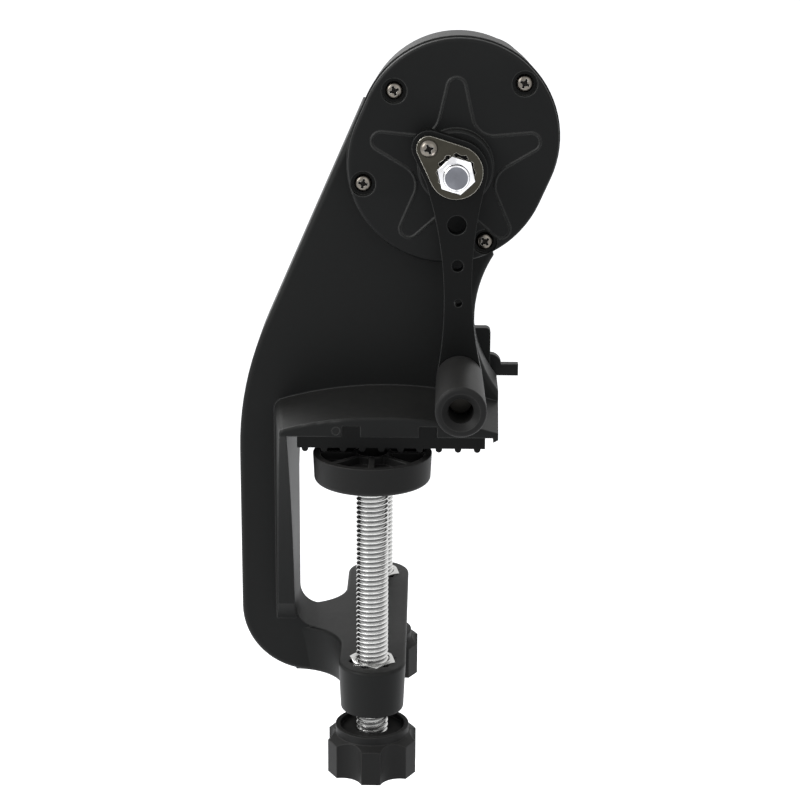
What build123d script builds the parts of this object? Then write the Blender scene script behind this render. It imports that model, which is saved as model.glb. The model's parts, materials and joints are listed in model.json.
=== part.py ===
from build123d import *
import math
import os

# Hand-cranked fishing line winder with a table clamp.
# Millimetres. X runs right along the jaws, Y runs away from the crank side, Z runs up.
# The origin lies on the underside of the upper jaw's rubber, midway between the clamp screws.

# ---------------------------------------------------------------- driving sizes
# Frame: one moulding with head, neck, spine and two jaws
PLATE_FRONT = -12.5
PLATE_BACK = 9.0
SPINE_OUTER_X = -43.3
THROAT_X = -25.6
THROAT_CORNER_R = 7.0
NECK_LEAN = 23.7
NECK_BEND_R = 102.0
HEEL_R = 22.5
PLATE_EDGE_R = 1.6
NECK_WAIST_X = 31.2
NECK_WAIST_Z = 33.0
NECK_FOOT_Z = 7.8
NECK_TOP_X = 36.9
NECK_TOP_Z = 51.5

# Head of the frame: an oval gear case
HEAD_X = 23.7
HEAD_Z = 85.6
HEAD_SPREAD = 8.4
HEAD_R = 30.6
HEAD_DRAFT = 1.2
CASE_FRONT = -20.5
CASE_WALL = 3.5
CASE_FLOOR = 3.0

# Upper jaw: an arched shelf with a gusset down the spine
JAW_HALF_DEPTH = 49.0
JAW_UNDERSIDE_Z = 3.4
JAW_TIP_LEFT_X = -27.8
JAW_RIGHT_X = 39.1
JAW_TIP_RIGHT_X = 38.0
JAW_SHOULDER_R = 3.5
JAW_TIP_SHOULDER_R = 1.6
ARCH_TOP_X = 4.2
ARCH_TOP_Z = 9.6
ARCH_R = 120.0
JAW_LIP_DEPTH = 1.4
JAW_LIP_WIDTH = 2.6
JAW_EDGE_R = 1.0
GUSSET_ROOT = 6.5
GUSSET_TOE_Z = -70.0
GUSSET_SHIN_Y = -20.0
GUSSET_SHIN_Z = -62.0
GUSSET_KNEE_Y = -30.5
GUSSET_KNEE_Z = -27.0
REAR_GUSSET_KNEE_Y = 25.0
REAR_GUSSET_KNEE_Z = -7.0
REAR_GUSSET_TOE_Z = -24.0

# Lower jaw: a bar with a clamp screw at each end
LOWER_JAW_TOP = -73.0
LOWER_JAW_BOTTOM = -88.6
BAR_HALF_WIDTH = 9.9
BAR_OVERHANG = 0.5
BAR_DRAFT = 0.7
ARM_FLARE_R = 16.0
FLARE_SINK = 0.8
BAR_EDGE_R = 0.9

# Jaw insert: rubber strip with ribs and locking tabs
INSERT_LEFT_X = -22.4
INSERT_RIGHT_X = 34.1
RIB_COUNT = 10
RIB_HEIGHT = 1.2
RIB_WIDTH = 2.0
RIB_PITCH = 5.75
TAB_WIDTH = 5.2
TAB_HEIGHT = 3.2
TAB_DEPTH = 4.0
TAB_CENTRES = (-6.2, 16.9)
TAB_CLEARANCE = 0.1
INSERT_PIN_XS = (-10.8, 27.0)
INSERT_PIN_Z = 5.3
INSERT_PIN_R = 1.2
INSERT_PIN_LENGTH = 7.0

# Clamp screws with swivel pads and star knobs
SCREW_END_DISTANCE = 10.5
SCREW_R = 5.0
SCREW_PITCH = 1.5
NUT_FLATS = 13.2
NUT_THICKNESS = 7.0
NUT_PROUD = 0.8
NUT_TURN = 12.0
THREAD_CLEARANCE = 0.05
SCREW_HOLE_CLEARANCE = 0.5
PAD_R = 18.2
PAD_TOP = -4.3
PAD_THICKNESS = 8.8
PAD_TAPER = 0.4
PAD_EDGE_R = 1.5
PAD_RIM = 2.2
PAD_DISH = 2.4
PAD_RIBS = 8
PAD_RIB_WIDTH = 1.6
PAD_HUB_R = 6.0
PAD_SOCKET_DEPTH = 2.5
PAD_WEB = 2.6
SCREW_NECK_R = 2.4
RUNNING_CLEARANCE = 0.06
SEAT_GAP = 0.3
WASHER_R = 4.4
WASHER_THICKNESS = 0.8
KNOB_R = 14.8
KNOB_FLAT = 14.3
KNOB_LOBES = 6
KNOB_DROP = 8.6
KNOB_HEIGHT = 12.2
KNOB_SHOULDER_DROP = 1.4
KNOB_COLLAR_R = 11.6
KNOB_COLLAR_HEIGHT = 2.6
KNOB_COLLAR_WALL = 1.4
KNOB_RECESS_DEPTH = 1.6
SCALLOP_R = 6.5
SCALLOP_CENTRE_R = 18.5
KNOB_SOCKET_DEPTH = 9.0

# Gear train
CRANK_X = 24.5
CRANK_Z = 81.5
MODULE = 1.0
DRIVE_TEETH = 30
PINION_TEETH = 15
PRESSURE_ANGLE = 20.0
BACKLASH = 0.12
GEAR_BACK = -1.0
GEAR_WIDTH = 7.0
PINION_EXTRA = 1.0
DRIVE_HUB_R = 8.0
DRIVE_WEB = 3.0
DRIVE_RIM = 2.6
DRIVE_HOLES = 5
DRIVE_HOLE_SHARE = 0.87

# Crank shaft, bushes and cover
SHAFT_R = 4.0
SHAFT_FLAT = 3.0
SHAFT_THREAD_R = 2.9
BUSH_WALL = 2.0
BUSH_FLANGE = 1.0
BUSH_FLANGE_R = 7.5
REAR_BUSH_LENGTH = 4.4
COVER_INSET = 0.5
COVER_THICKNESS = 4.0
COVER_EDGE_R = 1.0
SPIGOT_DEPTH = 1.5
SPIGOT_CLEARANCE = 0.15
HUB_BOSS_R = 11.4
HUB_BOSS_HEIGHT = 5.4
INNER_BOSS_DEPTH = 4.5
COVER_SCREWS = ((5.9, 103.8), (44.8, 106.2), (-3.4, 75.8), (33.7, 58.3))
SCREW_BOSS_R = 3.1
COUNTERBORE_R = 3.8
COUNTERBORE_DEPTH = 2.2
SMALL_SCREW_R = 1.5
SMALL_SCREW_CLEARANCE = 0.06
SMALL_HEAD_R = 2.7
SMALL_HEAD_HEIGHT = 1.7
SMALL_HEAD_ROUNDING = 0.7
SCREW_TIP_GAP = 1.0
COVER_SCREW_LENGTH = 12.0
STAR_R = 26.5
STAR_VALLEY_R = 13.3
STAR_TIP_R = 2.3
STAR_ARMS = 5
STAR_GROOVE_WIDTH = 0.7
STAR_GROOVE_DEPTH = 0.5

# Crank arm, keeper plate and nut
CRANK_TILT = 1.63
ARM_FRONT = -35.5
ARM_THICKNESS = 5.0
ARM_HEAD_R = 9.5
ARM_SIDE_DROP = 2.85
ARM_SIDE_RISE = 2.1
ARM_WAIST = 4.5
ARM_WAIST_AT = 45.0
ARM_END_R = 7.0
CRANK_THROW = 63.2
ARM_HOLES = ((16.0, 2.9), (28.4, 1.8), (39.8, 1.2))
KEEPER_OFFSET_X = -8.1
KEEPER_OFFSET_Z = 7.1
KEEPER_LOBE_MARGIN = 1.4
KEEPER_SMALL_R = 3.7
KEEPER_BIG_R = 8.0
KEEPER_THICKNESS = 1.5
KEEPER_SCREW_LENGTH = 4.2
CRANK_NUT_FLATS = 10.0
CRANK_NUT_HEIGHT = 7.2
CRANK_CROWN_R = 3.9
CRANK_CROWN_HEIGHT = 4.2
CRANK_CROWN_EDGE_R = 1.0
CRANK_CROWN_BORE = 1.5
NUT_POINT_CLEARANCE = 0.12

# Crank knob on its shouldered pin
GRIP_BASE_R = 7.1
GRIP_END_R = 7.5
GRIP_LENGTH = 37.5
GRIP_EDGE_R = 1.1
GRIP_COUNTERBORE_R = 3.7
GRIP_COUNTERSINK_R = 5.6
GRIP_COUNTERSINK_DEPTH = 1.8
GRIP_COUNTERBORE_DEPTH = 14.0
GRIP_PIN_R = 2.5
GRIP_PIN_HEAD_R = 3.3
GRIP_PIN_HEAD_HEIGHT = 2.6

# Output spindle for the line spool, on the far side
SPINDLE_R = 4.0
SPINDLE_END_R = 3.0
SPINDLE_TIP = 80.0
SPINDLE_END_LENGTH = 9.0
SPINDLE_RELIEF_R = 3.6
SPINDLE_RELIEF_WIDTH = 0.8
SPINDLE_BOSS_R = 10.0
SPINDLE_BOSS_HEIGHT = 3.0
SPINDLE_BUSH_FLANGE = 1.2
POCKET_BUSH_LENGTH = 4.5
POCKET_BOSS_R = 7.4
POCKET_DEPTH = 1.2
SPOOL_PLATE_R = 14.0
SPOOL_PLATE_THICKNESS = 3.0
SPOOL_CONE_BASE_R = 9.5
SPOOL_CONE_TIP_R = 5.6
SPOOL_CONE_LENGTH = 7.0
SPOOL_FLANGE_STEP = 1.2
SPOOL_FLANGE_THICKNESS = 1.8
DRIVE_PEG_R = 1.5
DRIVE_PEG_LENGTH = 4.0
DRIVE_PEG_CIRCLE_R = 11.8
SPOOL_SEAT_LENGTH = 21.2
SPOOL_SEAT_GAP = 0.5
SPOOL_NUT_R = 8.6
SPOOL_NUT_HEIGHT = 8.0
SPOOL_NUT_GRIPS = 10
SPOOL_NUT_GRIP_R = 1.5
SPOOL_NUT_GRIP_OUT = 0.5

# Reel seat, sliding hood and lock lever on the far side of the neck
SEAT_LEFT = -27.0
SEAT_RIGHT = 37.0
SEAT_TOP = 23.1
SEAT_THICKNESS = 8.0
SEAT_CORNER_R = 1.6
SEAT_TAB_START = 28.6
SEAT_TAB_THICKNESS = 4.0
SEAT_ARCH_CLEARANCE = 0.4
TROUGH_R = 12.0
TROUGH_DEPTH = 2.2
TROUGH_Z = 16.0
HOOD_LENGTH = 12.5
HOOD_HEIGHT = 6.6
HOOD_EDGE_R = 1.2
HOOD_POCKET_WIDTH = 9.0
HOOD_POCKET_LENGTH = 8.0
HOOD_POCKET_HEIGHT = 4.2
HOOD_BOTTOM = 10.6
MOVING_HOOD_X = 12.0
HOOD_SLIDE_IN = 6.0
HOOD_SLIDE_OUT = 4.0
TONGUE_WIDTH = 4.0
TONGUE_HEAD_WIDTH = 8.0
TONGUE_HEAD_THICKNESS = 2.4
TONGUE_INSET = 1.5
SLIDE_CLEARANCE = 0.3
SEAT_SCREWS = ((-9.5, 16.0), (0.0, 16.0), (30.0, 19.2))
SEAT_SCREW_LENGTH = 6.0
LEVER_X = 37.2
LEVER_PIVOT_X = 33.2
LEVER_PIVOT_R = 3.0
LEVER_Z = 9.6
LEVER_HUB_R = 3.6
LEVER_REACH = 9.2
LEVER_ARM_HEIGHT = 3.8
LEVER_THICKNESS = 3.4
LEVER_PIN_R = 1.6
LEVER_PIN_HEAD_R = 2.6
LEVER_PIN_HEAD_HEIGHT = 1.0

# How far cutters run past a face and joined forms run into each other
OVERRUN = 1.0

# ---------------------------------------------------------------- derived places
LEAN = math.radians(NECK_LEAN)
LEAN_DIR = (math.sin(LEAN), math.cos(LEAN))
CENTRE_DISTANCE = MODULE * (DRIVE_TEETH + PINION_TEETH) / 2
SPINDLE_X = CRANK_X + CENTRE_DISTANCE * LEAN_DIR[0]
SPINDLE_Z = CRANK_Z + CENTRE_DISTANCE * LEAN_DIR[1]
MESH_ANGLE = 90 - NECK_LEAN
COVER_FRONT = CASE_FRONT - COVER_THICKNESS
HUB_FRONT = COVER_FRONT - HUB_BOSS_HEIGHT
ARM_BACK = ARM_FRONT + ARM_THICKNESS
GRIP_X = CRANK_X + CRANK_THROW * math.sin(math.radians(CRANK_TILT))
GRIP_Z = CRANK_Z - CRANK_THROW * math.cos(math.radians(CRANK_TILT))
GRIP_BACK = ARM_FRONT - SEAT_GAP
GRIP_FRONT = GRIP_BACK - GRIP_LENGTH
PAD_BOTTOM = PAD_TOP - PAD_THICKNESS
BAR_HALF_LENGTH = JAW_HALF_DEPTH + BAR_OVERHANG
SCREW_Y = BAR_HALF_LENGTH - SCREW_END_DISTANCE
NUT_FLOOR = LOWER_JAW_TOP + NUT_PROUD - NUT_THICKNESS
KNOB_TOP = LOWER_JAW_BOTTOM - KNOB_DROP
KNOB_BOTTOM = KNOB_TOP - KNOB_HEIGHT
BUSH_R = SHAFT_R + BUSH_WALL
SPINDLE_BUSH_R = SPINDLE_R + BUSH_WALL
POCKET_BUSH_R = SPINDLE_END_R + BUSH_WALL
SEAT_BACK = PLATE_BACK + SEAT_THICKNESS
GEAR_FRONT = GEAR_BACK - GEAR_WIDTH
SPOOL_PLATE_BACK = PLATE_BACK + SPINDLE_BOSS_HEIGHT + SPINDLE_BUSH_FLANGE + SEAT_GAP
SPOOL_PLATE_TIP = SPOOL_PLATE_BACK + SPOOL_PLATE_THICKNESS + SPOOL_CONE_LENGTH
SPOOL_SEAT_START = SPOOL_PLATE_TIP + SPINDLE_RELIEF_WIDTH
SPOOL_SEAT_END = SPOOL_SEAT_START + SPOOL_SEAT_LENGTH
CONE_FACE_Y = SPOOL_SEAT_END + SPOOL_SEAT_GAP
CONE_BACK_Y = CONE_FACE_Y + SPOOL_CONE_LENGTH + SPOOL_FLANGE_THICKNESS
SEAT_LENGTH = SEAT_RIGHT - SEAT_LEFT
TROUGH_FLOOR_Y = SEAT_BACK - TROUGH_DEPTH


# ---------------------------------------------------------------- shared shapes
def along_y(sketch, y_low, y_high):
    """Extrude a sketch drawn in X and Z between two depths."""
    return extrude(Plane.XZ.offset(-y_high) * sketch, amount=y_high - y_low)


def rod_y(radius, x, z, y_low, y_high):
    """A round rod along Y."""
    return along_y(Pos(x, z) * Circle(radius), y_low, y_high)


def rod_z(radius, x, y, z_low, z_high):
    """A round rod along Z."""
    return extrude(Plane.XY.offset(z_low) * Pos(x, y) * Circle(radius), amount=z_high - z_low)


def block(x_low, x_high, y_low, y_high, z_low, z_high):
    """A box between two corners."""
    middle = Pos((x_low + x_high) / 2, (y_low + y_high) / 2, (z_low + z_high) / 2)
    return middle * Box(x_high - x_low, y_high - y_low, z_high - z_low)


def hexagon(across_flats, turn=0):
    """A hexagon from its width across flats."""
    return Rot(0, 0, turn) * RegularPolygon(across_flats / math.sqrt(3), 6)


def ring_y(outer, inner, x, z, y_low, y_high):
    """A ring along Y."""
    return rod_y(outer, x, z, y_low, y_high) - rod_y(inner, x, z, y_low, y_high)


def pan_screw(length):
    """A small pan-headed screw that points down from the origin."""
    head = rod_z(SMALL_HEAD_R, 0, 0, 0, SMALL_HEAD_HEIGHT)
    head = fillet(head.edges().group_by(Axis.Z)[-1], SMALL_HEAD_ROUNDING)
    return head + rod_z(SMALL_SCREW_R, 0, 0, -length, 0)


def front_screw(x, z, seat_y, length):
    """A small screw driven from the crank side."""
    return Pos(x, seat_y, z) * Rot(90, 0, 0) * pan_screw(length)


def rear_screw(x, z, seat_y, length):
    """A small screw driven from the far side."""
    return Pos(x, seat_y, z) * Rot(-90, 0, 0) * pan_screw(length)


def oval(radius):
    """The head's oval, parallel to the leaning neck."""
    slot = SlotCenterToCenter(HEAD_SPREAD, 2 * radius)
    return Pos(HEAD_X, HEAD_Z) * Rot(0, 0, MESH_ANGLE) * slot


def gear_profile(teeth):
    """Involute spur gear outline with one tooth on the local X axis."""
    pitch_r = MODULE * teeth / 2
    base_r = pitch_r * math.cos(math.radians(PRESSURE_ANGLE))
    root_r = pitch_r - 1.25 * MODULE
    tip_r = pitch_r + MODULE
    flank_steps = 3

    def involute(angle):
        return math.tan(angle) - angle

    half_tooth = math.pi / (2 * teeth) - BACKLASH / (2 * pitch_r)
    half_base = half_tooth + involute(math.radians(PRESSURE_ANGLE))
    flank = [(root_r, half_base)]
    for step in range(flank_steps + 1):
        radius = base_r + (tip_r - base_r) * step / flank_steps
        flank.append((radius, half_base - involute(math.acos(base_r / radius))))
    points = []
    for tooth in range(teeth):
        centre = 2 * math.pi * tooth / teeth
        for radius, half in flank:
            points.append((radius * math.cos(centre - half), radius * math.sin(centre - half)))
        for radius, half in reversed(flank):
            points.append((radius * math.cos(centre + half), radius * math.sin(centre + half)))
    return make_face(Polyline(*points, close=True))


# ---------------------------------------------------------------- frame
def plate_outline():
    """Neck, spine and heel of the frame, seen from the crank side."""
    left = (HEAD_X - HEAD_R * LEAN_DIR[1], HEAD_Z + HEAD_R * LEAN_DIR[0])
    run = (left[0] - SPINE_OUTER_X) / LEAN_DIR[0]
    corner = (SPINE_OUTER_X, left[1] - run * LEAN_DIR[1])
    tangent = NECK_BEND_R * math.tan(LEAN / 2)
    bend_start = (corner[0] + tangent * LEAN_DIR[0], corner[1] + tangent * LEAN_DIR[1])
    bend_end = (corner[0], corner[1] - tangent)
    heel_side = (SPINE_OUTER_X, LOWER_JAW_BOTTOM + HEEL_R)
    heel_base = (SPINE_OUTER_X + HEEL_R, LOWER_JAW_BOTTOM)
    arm_end = -BAR_HALF_WIDTH
    throat_low = (THROAT_X, LOWER_JAW_TOP + THROAT_CORNER_R)
    throat_floor = (THROAT_X + THROAT_CORNER_R, LOWER_JAW_TOP)
    shelf_end = (JAW_RIGHT_X, NECK_FOOT_Z)
    edges = [
        Line(left, bend_start),
        RadiusArc(bend_start, bend_end, -NECK_BEND_R),
        Line(bend_end, heel_side),
        RadiusArc(heel_side, heel_base, -HEEL_R),
        Line(heel_base, (arm_end, LOWER_JAW_BOTTOM)),
        Line((arm_end, LOWER_JAW_BOTTOM), (arm_end, LOWER_JAW_TOP)),
        Line((arm_end, LOWER_JAW_TOP), throat_floor),
        RadiusArc(throat_floor, throat_low, THROAT_CORNER_R),
        Line(throat_low, (THROAT_X, JAW_UNDERSIDE_Z)),
        Line((THROAT_X, JAW_UNDERSIDE_Z), (JAW_RIGHT_X, JAW_UNDERSIDE_Z)),
        Line((JAW_RIGHT_X, JAW_UNDERSIDE_Z), shelf_end),
        ThreePointArc(shelf_end, (NECK_WAIST_X, NECK_WAIST_Z), (NECK_TOP_X, NECK_TOP_Z)),
        Line((NECK_TOP_X, NECK_TOP_Z), (HEAD_X, HEAD_Z)),
        Line((HEAD_X, HEAD_Z), left),
    ]
    return make_face(edges)


def arch_point(x, offset=0.0):
    """A point on the upper jaw's arched top line."""
    rise = math.sqrt(ARCH_R ** 2 - (x - ARCH_TOP_X) ** 2)
    return (x, ARCH_TOP_Z - ARCH_R + rise + offset)


def arch(left_x, offset=0.0):
    """The upper jaw's arched top line as a filled profile down to its underside."""
    left = arch_point(left_x, offset)
    right = arch_point(JAW_RIGHT_X, offset)
    lip_x = JAW_RIGHT_X - JAW_LIP_WIDTH
    lip_z = JAW_UNDERSIDE_Z - JAW_LIP_DEPTH
    edges = [
        ThreePointArc(left, arch_point(ARCH_TOP_X, offset), right),
        Polyline(right, (JAW_RIGHT_X, JAW_UNDERSIDE_Z), (lip_x, lip_z), (lip_x, JAW_UNDERSIDE_Z),
                 (left_x, JAW_UNDERSIDE_Z), left),
    ]
    return make_face(edges)


def jaw_plan():
    """The upper jaw and its gussets from above: both ends draw in towards the tips."""
    root_x = THROAT_X - GUSSET_ROOT
    return make_face(Polyline(
        (root_x, PLATE_FRONT), (JAW_TIP_LEFT_X, -JAW_HALF_DEPTH), (JAW_TIP_RIGHT_X, -JAW_HALF_DEPTH),
        (JAW_RIGHT_X, PLATE_FRONT), (JAW_RIGHT_X, PLATE_BACK), (JAW_TIP_RIGHT_X, JAW_HALF_DEPTH),
        (JAW_TIP_LEFT_X, JAW_HALF_DEPTH), (root_x, PLATE_BACK), close=True))


def shoulder_section(left_x, radius):
    """Section through the jaw's left end: wall, rounded shoulder and the start of the arch."""
    corner = arch_point(left_x)
    inner = arch_point(THROAT_X)
    half_way = arch_point((left_x + THROAT_X) / 2)
    section = make_face([
        ThreePointArc(corner, half_way, inner),
        Line(inner, (THROAT_X, GUSSET_TOE_Z)),
        Line((THROAT_X, GUSSET_TOE_Z), (left_x, GUSSET_TOE_Z)),
        Line((left_x, GUSSET_TOE_Z), corner),
    ])
    upper_left = section.vertices().sort_by(Axis.X)[:2].sort_by(Axis.Y)[-1]
    return fillet(upper_left, radius)


def gusset(side, root_y, tip_y):
    """Web that carries one half of the jaw down the spine, drawn in towards its tip."""
    root = Plane.XZ.offset(-root_y) * shoulder_section(THROAT_X - GUSSET_ROOT, JAW_SHOULDER_R)
    tip = Plane.XZ.offset(-tip_y) * shoulder_section(JAW_TIP_LEFT_X, JAW_TIP_SHOULDER_R)
    web = loft([root, tip], ruled=True)
    return web & extrude(Plane.YZ.offset(THROAT_X - GUSSET_ROOT) * side, amount=GUSSET_ROOT)


def front_gusset():
    """The long web on the crank side."""
    root = PLATE_FRONT + OVERRUN
    tip = -JAW_HALF_DEPTH
    side = make_face([
        Line((root, ARCH_TOP_Z), (tip, ARCH_TOP_Z)),
        Line((tip, ARCH_TOP_Z), (tip, JAW_UNDERSIDE_Z)),
        ThreePointArc((tip, JAW_UNDERSIDE_Z), (GUSSET_KNEE_Y, GUSSET_KNEE_Z),
                      (GUSSET_SHIN_Y, GUSSET_SHIN_Z)),
        Line((GUSSET_SHIN_Y, GUSSET_SHIN_Z), (PLATE_FRONT, GUSSET_TOE_Z)),
        Line((PLATE_FRONT, GUSSET_TOE_Z), (root, GUSSET_TOE_Z)),
        Line((root, GUSSET_TOE_Z), (root, ARCH_TOP_Z)),
    ])
    return gusset(side, root, tip)


def rear_gusset():
    """The short web on the far side."""
    root = PLATE_BACK - OVERRUN
    tip = JAW_HALF_DEPTH
    side = make_face([
        Line((root, ARCH_TOP_Z), (tip, ARCH_TOP_Z)),
        Line((tip, ARCH_TOP_Z), (tip, JAW_UNDERSIDE_Z)),
        ThreePointArc((tip, JAW_UNDERSIDE_Z), (REAR_GUSSET_KNEE_Y, REAR_GUSSET_KNEE_Z),
                      (PLATE_BACK, REAR_GUSSET_TOE_Z)),
        Line((PLATE_BACK, REAR_GUSSET_TOE_Z), (root, REAR_GUSSET_TOE_Z)),
        Line((root, REAR_GUSSET_TOE_Z), (root, ARCH_TOP_Z)),
    ])
    return gusset(side, root, tip)


def lower_jaw():
    """Bar for the two screws, flared into the arm and drafted so that it widens upwards."""
    bar = Rot(0, 0, 90) * SlotOverall(2 * BAR_HALF_LENGTH, 2 * BAR_HALF_WIDTH)
    side_x = -BAR_HALF_WIDTH
    root_x = side_x - ARM_FLARE_R
    front_root = PLATE_FRONT + FLARE_SINK
    back_root = PLATE_BACK - FLARE_SINK
    flare = make_face([
        Line((0, front_root - ARM_FLARE_R), (side_x, front_root - ARM_FLARE_R)),
        RadiusArc((side_x, front_root - ARM_FLARE_R), (root_x, front_root), -ARM_FLARE_R),
        Line((root_x, front_root), (root_x, back_root)),
        RadiusArc((root_x, back_root), (side_x, back_root + ARM_FLARE_R), -ARM_FLARE_R),
        Line((side_x, back_root + ARM_FLARE_R), (0, back_root + ARM_FLARE_R)),
        Line((0, back_root + ARM_FLARE_R), (0, front_root - ARM_FLARE_R)),
    ])
    height = LOWER_JAW_TOP - LOWER_JAW_BOTTOM
    draft = math.degrees(math.atan(BAR_DRAFT / height))
    return extrude(Plane.XY.offset(LOWER_JAW_BOTTOM) * (bar + flare), amount=height, taper=-draft)


def rounded_bar():
    """The lower jaw with its upper and lower rims rounded."""
    jaw = lower_jaw()
    root_x = -BAR_HALF_WIDTH - ARM_FLARE_R
    levels = jaw.edges().group_by(Axis.Z)
    rims = [edge for edge in levels[0] + levels[-1] if edge.center().X > root_x + OVERRUN]
    return fillet(rims, BAR_EDGE_R)


def rounded_plate():
    """The flat moulding with its outer edges rounded."""
    plate = along_y(plate_outline(), PLATE_FRONT, PLATE_BACK)
    levels = plate.edges().group_by(Axis.Y)
    outer = []
    for edge in levels[0] + levels[-1]:
        middle = edge.center()
        left_side = middle.X < (SPINE_OUTER_X + THROAT_X) / 2
        neck_height = ARCH_TOP_Z < middle.Z < NECK_TOP_Z
        if left_side or (neck_height and middle.X > (NECK_WAIST_X + HEAD_X) / 2):
            outer.append(edge)
    return fillet(outer, PLATE_EDGE_R)


def upper_jaw():
    """The arch drawn out to both sides and joined to its gussets."""
    shelf = along_y(arch(THROAT_X), -JAW_HALF_DEPTH, JAW_HALF_DEPTH)
    floor = JAW_UNDERSIDE_Z - JAW_LIP_DEPTH
    shelf &= extrude(Plane.XY.offset(floor) * jaw_plan(), amount=ARCH_TOP_Z - floor + OVERRUN)
    jaw = shelf + front_gusset() + rear_gusset()
    rims = []
    for edge in jaw.edges():
        middle = edge.center()
        at_tip = abs(abs(middle.Y) - JAW_HALF_DEPTH) < 0.01
        if at_tip and middle.Z > JAW_UNDERSIDE_Z + 1 and edge.length > JAW_SHOULDER_R / 2:
            if abs(edge.tangent_at(0.5).Z) < 0.95:
                rims.append(edge)
    return fillet(rims, JAW_EDGE_R)


def tab_blocks(clearance):
    """Spaces for the rubber's locking tabs in both faces of the jaw."""
    blocks = []
    half = TAB_WIDTH / 2 + clearance
    top = JAW_UNDERSIDE_Z + TAB_HEIGHT + clearance
    for centre in TAB_CENTRES:
        for side in (-1, 1):
            near = side * (JAW_HALF_DEPTH - TAB_DEPTH - clearance)
            far = side * JAW_HALF_DEPTH
            blocks.append(block(centre - half, centre + half, min(near, far), max(near, far),
                                JAW_UNDERSIDE_Z, top))
    return blocks


def head_shell():
    """The head's oval, drawn in towards the back as a moulding is."""
    depth = PLATE_BACK - CASE_FRONT
    draft = math.degrees(math.atan(HEAD_DRAFT / depth))
    back = Plane.XZ.offset(-PLATE_BACK) * oval(HEAD_R - HEAD_DRAFT)
    shell = extrude(back, amount=depth, taper=-draft)
    return fillet(shell.edges().group_by(Axis.Y)[-1], PLATE_EDGE_R)


def head_case():
    """Gear case cavity with its four screw bosses left standing."""
    cavity = along_y(oval(HEAD_R - CASE_WALL), CASE_FRONT, CASE_FLOOR)
    for x, z in COVER_SCREWS:
        cavity -= rod_y(SCREW_BOSS_R, x, z, CASE_FRONT, CASE_FLOOR)
    return cavity


def body_frame():
    """The one-piece moulded frame."""
    frame = rounded_plate() + head_shell()
    frame += upper_jaw()
    frame += rounded_bar()
    frame += rod_y(SPINDLE_BOSS_R, SPINDLE_X, SPINDLE_Z, CASE_FLOOR, PLATE_BACK + SPINDLE_BOSS_HEIGHT)
    frame -= head_case()
    frame -= rod_y(BUSH_R, CRANK_X, CRANK_Z, CASE_FLOOR, CASE_FLOOR + REAR_BUSH_LENGTH)
    frame -= rod_y(SPINDLE_BUSH_R, SPINDLE_X, SPINDLE_Z, CASE_FLOOR, PLATE_BACK + SPINDLE_BOSS_HEIGHT)
    hole = SMALL_SCREW_R + SMALL_SCREW_CLEARANCE
    for x, z in COVER_SCREWS:
        frame -= rod_y(hole, x, z, CASE_FRONT, CASE_FRONT + COVER_SCREW_LENGTH)
    for x, z in SEAT_SCREWS:
        frame -= rod_y(hole, x, z, PLATE_BACK - SEAT_SCREW_LENGTH, PLATE_BACK)
    for space in tab_blocks(TAB_CLEARANCE):
        frame -= space
    for x in INSERT_PIN_XS:
        for side in (-1, 1):
            tip = side * (JAW_HALF_DEPTH - INSERT_PIN_LENGTH)
            face = side * JAW_HALF_DEPTH
            frame -= rod_y(INSERT_PIN_R, x, INSERT_PIN_Z, min(tip, face), max(tip, face))
    for y in (-SCREW_Y, SCREW_Y):
        frame -= rod_z(SCREW_R + SCREW_HOLE_CLEARANCE, 0, y, LOWER_JAW_BOTTOM, LOWER_JAW_TOP)
        pocket = Plane.XY.offset(NUT_FLOOR) * Pos(0, y) * hexagon(NUT_FLATS, NUT_TURN)
        frame -= extrude(pocket, amount=NUT_THICKNESS)
    return frame


# ---------------------------------------------------------------- jaw insert
def jaw_insert():
    """Ribbed rubber under the upper jaw, locked by tabs at both faces."""
    strip = block(INSERT_LEFT_X, INSERT_RIGHT_X, -JAW_HALF_DEPTH, JAW_HALF_DEPTH, 0, JAW_UNDERSIDE_Z)
    for tab in tab_blocks(0.0):
        strip += tab
    first = (INSERT_LEFT_X + INSERT_RIGHT_X - RIB_PITCH * (RIB_COUNT - 1)) / 2
    rib = Circle(RIB_WIDTH / 2)
    for index in range(RIB_COUNT):
        centre = first + index * RIB_PITCH
        drop = RIB_HEIGHT - RIB_WIDTH / 2
        strip += along_y(Pos(centre, -drop) * rib, -JAW_HALF_DEPTH, JAW_HALF_DEPTH)
        strip += block(centre - RIB_WIDTH / 2, centre + RIB_WIDTH / 2,
                       -JAW_HALF_DEPTH, JAW_HALF_DEPTH, -drop, 0)
    return strip


def insert_pins():
    """Short pins in both faces of the jaw."""
    pins = []
    for x in INSERT_PIN_XS:
        for side in (-1, 1):
            tip = side * (JAW_HALF_DEPTH - INSERT_PIN_LENGTH)
            face = side * JAW_HALF_DEPTH
            pins.append(rod_y(INSERT_PIN_R, x, INSERT_PIN_Z, min(tip, face), max(tip, face)))
    return pins


# ---------------------------------------------------------------- clamp screws
def clamp_nut(y):
    """Hexagon nut set into the top of the lower jaw."""
    outline = Plane.XY.offset(NUT_FLOOR) * Pos(0, y) * hexagon(NUT_FLATS, NUT_TURN)
    body = extrude(outline, amount=NUT_THICKNESS)
    return body - rod_z(SCREW_R + THREAD_CLEARANCE, 0, y, NUT_FLOOR, NUT_FLOOR + NUT_THICKNESS)


def clamp_screw(y):
    """Threaded rod with a neck that the pad turns on; the thread is left plain."""
    shoulder = PAD_BOTTOM + PAD_SOCKET_DEPTH - SEAT_GAP
    neck_top = shoulder + SEAT_GAP + PAD_WEB + SEAT_GAP + WASHER_THICKNESS
    bottom = KNOB_TOP - KNOB_SOCKET_DEPTH
    rod = rod_z(SCREW_R, 0, y, bottom, shoulder)
    return rod + rod_z(SCREW_NECK_R, 0, y, shoulder, neck_top)


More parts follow.
